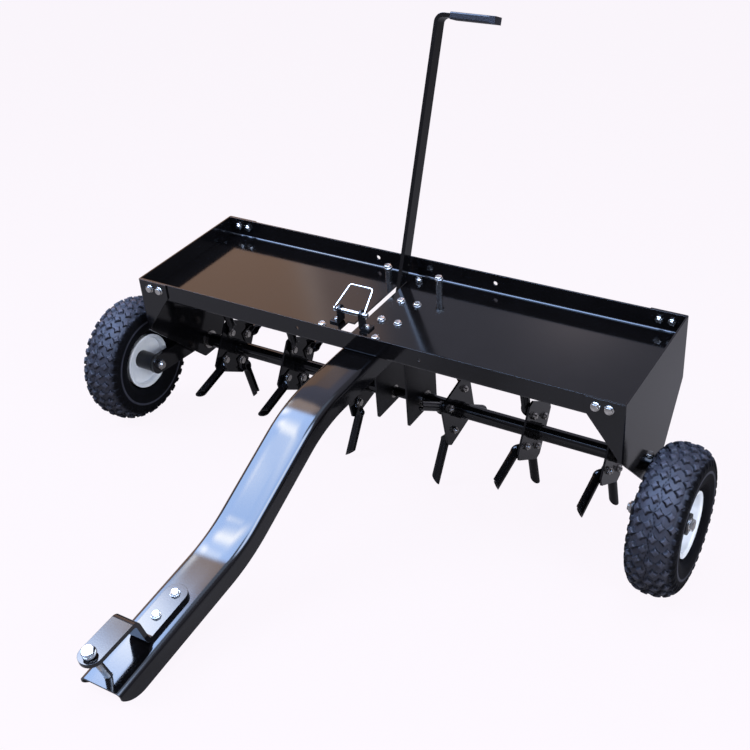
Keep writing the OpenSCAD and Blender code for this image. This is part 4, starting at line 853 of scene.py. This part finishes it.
def painted_reflection_colours(azimuth, rise):
    """Colour of the painted reflections by direction in degrees, laid in layers.

    Dim blue grey all round, darker near the floor and a little brighter overhead. At the back left
    a warm patch with a pale edge and a darker strip, under a blue grey band. From the left round
    the front to the right runs a wide bright blue band with white patches, whose first edge is brown,
    with one small white patch on it. These paint the highlights and reflections on the gloss paint,
    metal and rubber. Azimuth is counted from the back towards the right.
    """
    colour = np.ones(azimuth.shape + (3,)) * (0.4, 0.4, 0.5)
    leftwards = -np.where(azimuth > 0, azimuth - 360, azimuth)

    def lay(mask, paint):
        """Covers what is there with paint, by the mask's share."""
        colour[:] = colour + mask[..., None] * (np.array(paint) - colour)

    def blob(middle, spread):
        """A soft patch: 1 at its middle, fading as a bell with its spread in either direction."""
        return np.exp(-((azimuth - middle[0]) / spread[0]) ** 2
                      - ((rise - middle[1]) / spread[1]) ** 2)

    low, below_top = 1 - step(rise, 43, 46), 1 - step(rise, 60, 66)
    lay(1 - step(rise, 14, 42), (0.2, 0.2, 0.25))
    lay(step(rise, 58, 74), (1.4, 1.7, 2.3))
    lay(band(azimuth, -82, -41.2, 1.2) * low, (1.45, 0.93, 0.68))
    lay(band(azimuth, -41.2, -36.6, 1.2) * low, (0.95, 0.70, 0.65))
    lay(band(azimuth, -41.8, -40.9, 0.6) * low * step(rise, 33, 37), (2.0, 1.6, 1.45))
    lay(blob((-21, 42), (4, 2)) * 0.7, (1.2, 1.08, 1.2))
    lay(band(azimuth, -82, -37, 3) * step(rise, 43, 46) * below_top, (0.75, 0.78, 1.1))
    lay(band(azimuth, -85, -60.5, 5) * step(rise, 51, 54) * below_top, (4.2, 3.3, 3.0))
    # Painted reflection: a bright blue band with white patches, which puts the highlights on the
    # gloss paint and the metal.
    span = step(leftwards, 72, 77) * (1 - step(leftwards, 262, 280))
    bright_reflection_band = span * step(rise, 34, 46) * (1 - step(rise, 72, 80))
    lay(bright_reflection_band, (7.6, 11.0, 18.5))
    white_reflections = (blob((-104, 59.4), (13, 1.6)) + blob((-113.5, 54.6), (2.2, 1.0))
             + blob((-79.5, 54.8), (4.0, 2.4)) + blob((-96, 57.2), (5, 1.6))
             + 0.5 * step(leftwards, 170, 235) * band(rise, 50, 66, 8))
    lay(np.clip(white_reflections, 0, 1) * bright_reflection_band, (21.0, 21.6, 23.0))
    lay(blob((-69.8, 51.0), (3.4, 1.3)), (19.0, 19.0, 20.0))
    return colour


def painted_reflection_dome(radius=9.0, turns=360, rises=120):
    """A glowing dome round the machine that carries the colours of the painted reflections, lights no
    surface directly and is seen only in reflections.
    """
    azimuth, rise = np.meshgrid(np.linspace(-180, 180, turns, endpoint=False),
                                np.linspace(0.0, 89.0, rises), indexing="ij")
    a, r = np.radians(azimuth), np.radians(rise)
    ways = np.stack([np.cos(r) * np.sin(a), np.cos(r) * np.cos(a), np.sin(r)], -1)
    dome = stage_piece("painted_reflections", (ways * radius).reshape(-1, 3),
                       grid_faces(turns, rises, True, False), painted_reflection_material())
    paint = dome.data.attributes.new("reflection_paint", "FLOAT_COLOR", "POINT")
    colour = np.concatenate([painted_reflection_colours(azimuth, rise), np.ones(azimuth.shape + (1,))], -1)
    paint.data.foreach_set("color", colour.ravel())
    for ray in ("camera", "diffuse", "transmission", "volume_scatter", "shadow"):
        setattr(dome, "visible_" + ray, False)


painted_reflection_dome()


LAMPS_AIM = Vector((0, 0, 0.3))


def soft_lamp(name, way, distance, size, radiance, colour):
    """A rectangular soft box in a direction from the machine, aimed at it, of a given radiance."""
    lamp = bpy.data.lights.new(name, "AREA")
    lamp.shape = "RECTANGLE"
    lamp.size, lamp.size_y = size
    lamp.energy = radiance * math.pi * size[0] * size[1]
    lamp.color = linear(colour)[:3]
    made = bpy.data.objects.new(name, lamp)
    bpy.context.scene.collection.objects.link(made)
    way = Vector(way).normalized()
    made.location = LAMPS_AIM + way * distance
    made.rotation_mode = "QUATERNION"
    made.rotation_quaternion = way.to_track_quat("Z", "Y")
    made.visible_glossy = False


soft_lamp("key_soft_box", (-0.55, -0.60, 0.62), 3.4, (2.2, 1.7), 9.0, "#eef3ff")
soft_lamp("top_soft_box", (0.15, 0.05, 1.0), 3.6, (2.6, 1.4), 4.0, "#f6f8ff")
soft_lamp("right_fill", (1.0, -0.45, 0.28), 4.0, (1.8, 2.2), 12.0, "#f4f8ff")

world = bpy.data.worlds.new("pale_room")
bpy.context.scene.world = world
world.use_nodes = True
sky = world.node_tree
sky.nodes.clear()
shown = add(sky, "Background", {"Color": linear(PALE), "Strength": 1.0})
fill = add(sky, "Background", {"Color": linear("#f4f6ff"), "Strength": 0.3})
mixed = add(sky, "MixShader", {0: seen_rays(sky), 1: fill, 2: shown})
add(sky, "OutputWorld", {"Surface": mixed})


# Camera, from the photograph's own perspective

IMAGE = 750
FOCAL_PX = 1163.6
CAMERA_AT = (1.01366, -1.48690, 1.13665)
CAMERA_AZIMUTH, CAMERA_RISE, CAMERA_ROLL = (math.radians(d) for d in (30.3439, 23.9994, 2.1058))

lens = bpy.data.cameras.new("camera")
lens.sensor_width = 36.0
lens.lens = FOCAL_PX / IMAGE * lens.sensor_width
lens.clip_start, lens.clip_end = 0.05, 200.0
camera = bpy.data.objects.new("camera", lens)
bpy.context.scene.collection.objects.link(camera)
back = Vector((math.sin(CAMERA_AZIMUTH) * math.cos(CAMERA_RISE),
               -math.cos(CAMERA_AZIMUTH) * math.cos(CAMERA_RISE), math.sin(CAMERA_RISE)))
right = Vector((0, 0, 1)).cross(back).normalized()
up = back.cross(right)
rolled_right = right * math.cos(CAMERA_ROLL) + up * math.sin(CAMERA_ROLL)
rolled_up = up * math.cos(CAMERA_ROLL) - right * math.sin(CAMERA_ROLL)
facing = Matrix((rolled_right, rolled_up, back)).transposed()
camera.matrix_world = Matrix.Translation(CAMERA_AT) @ facing.to_4x4()
bpy.context.scene.camera = camera
bpy.context.scene.view_settings.view_transform = "Standard"
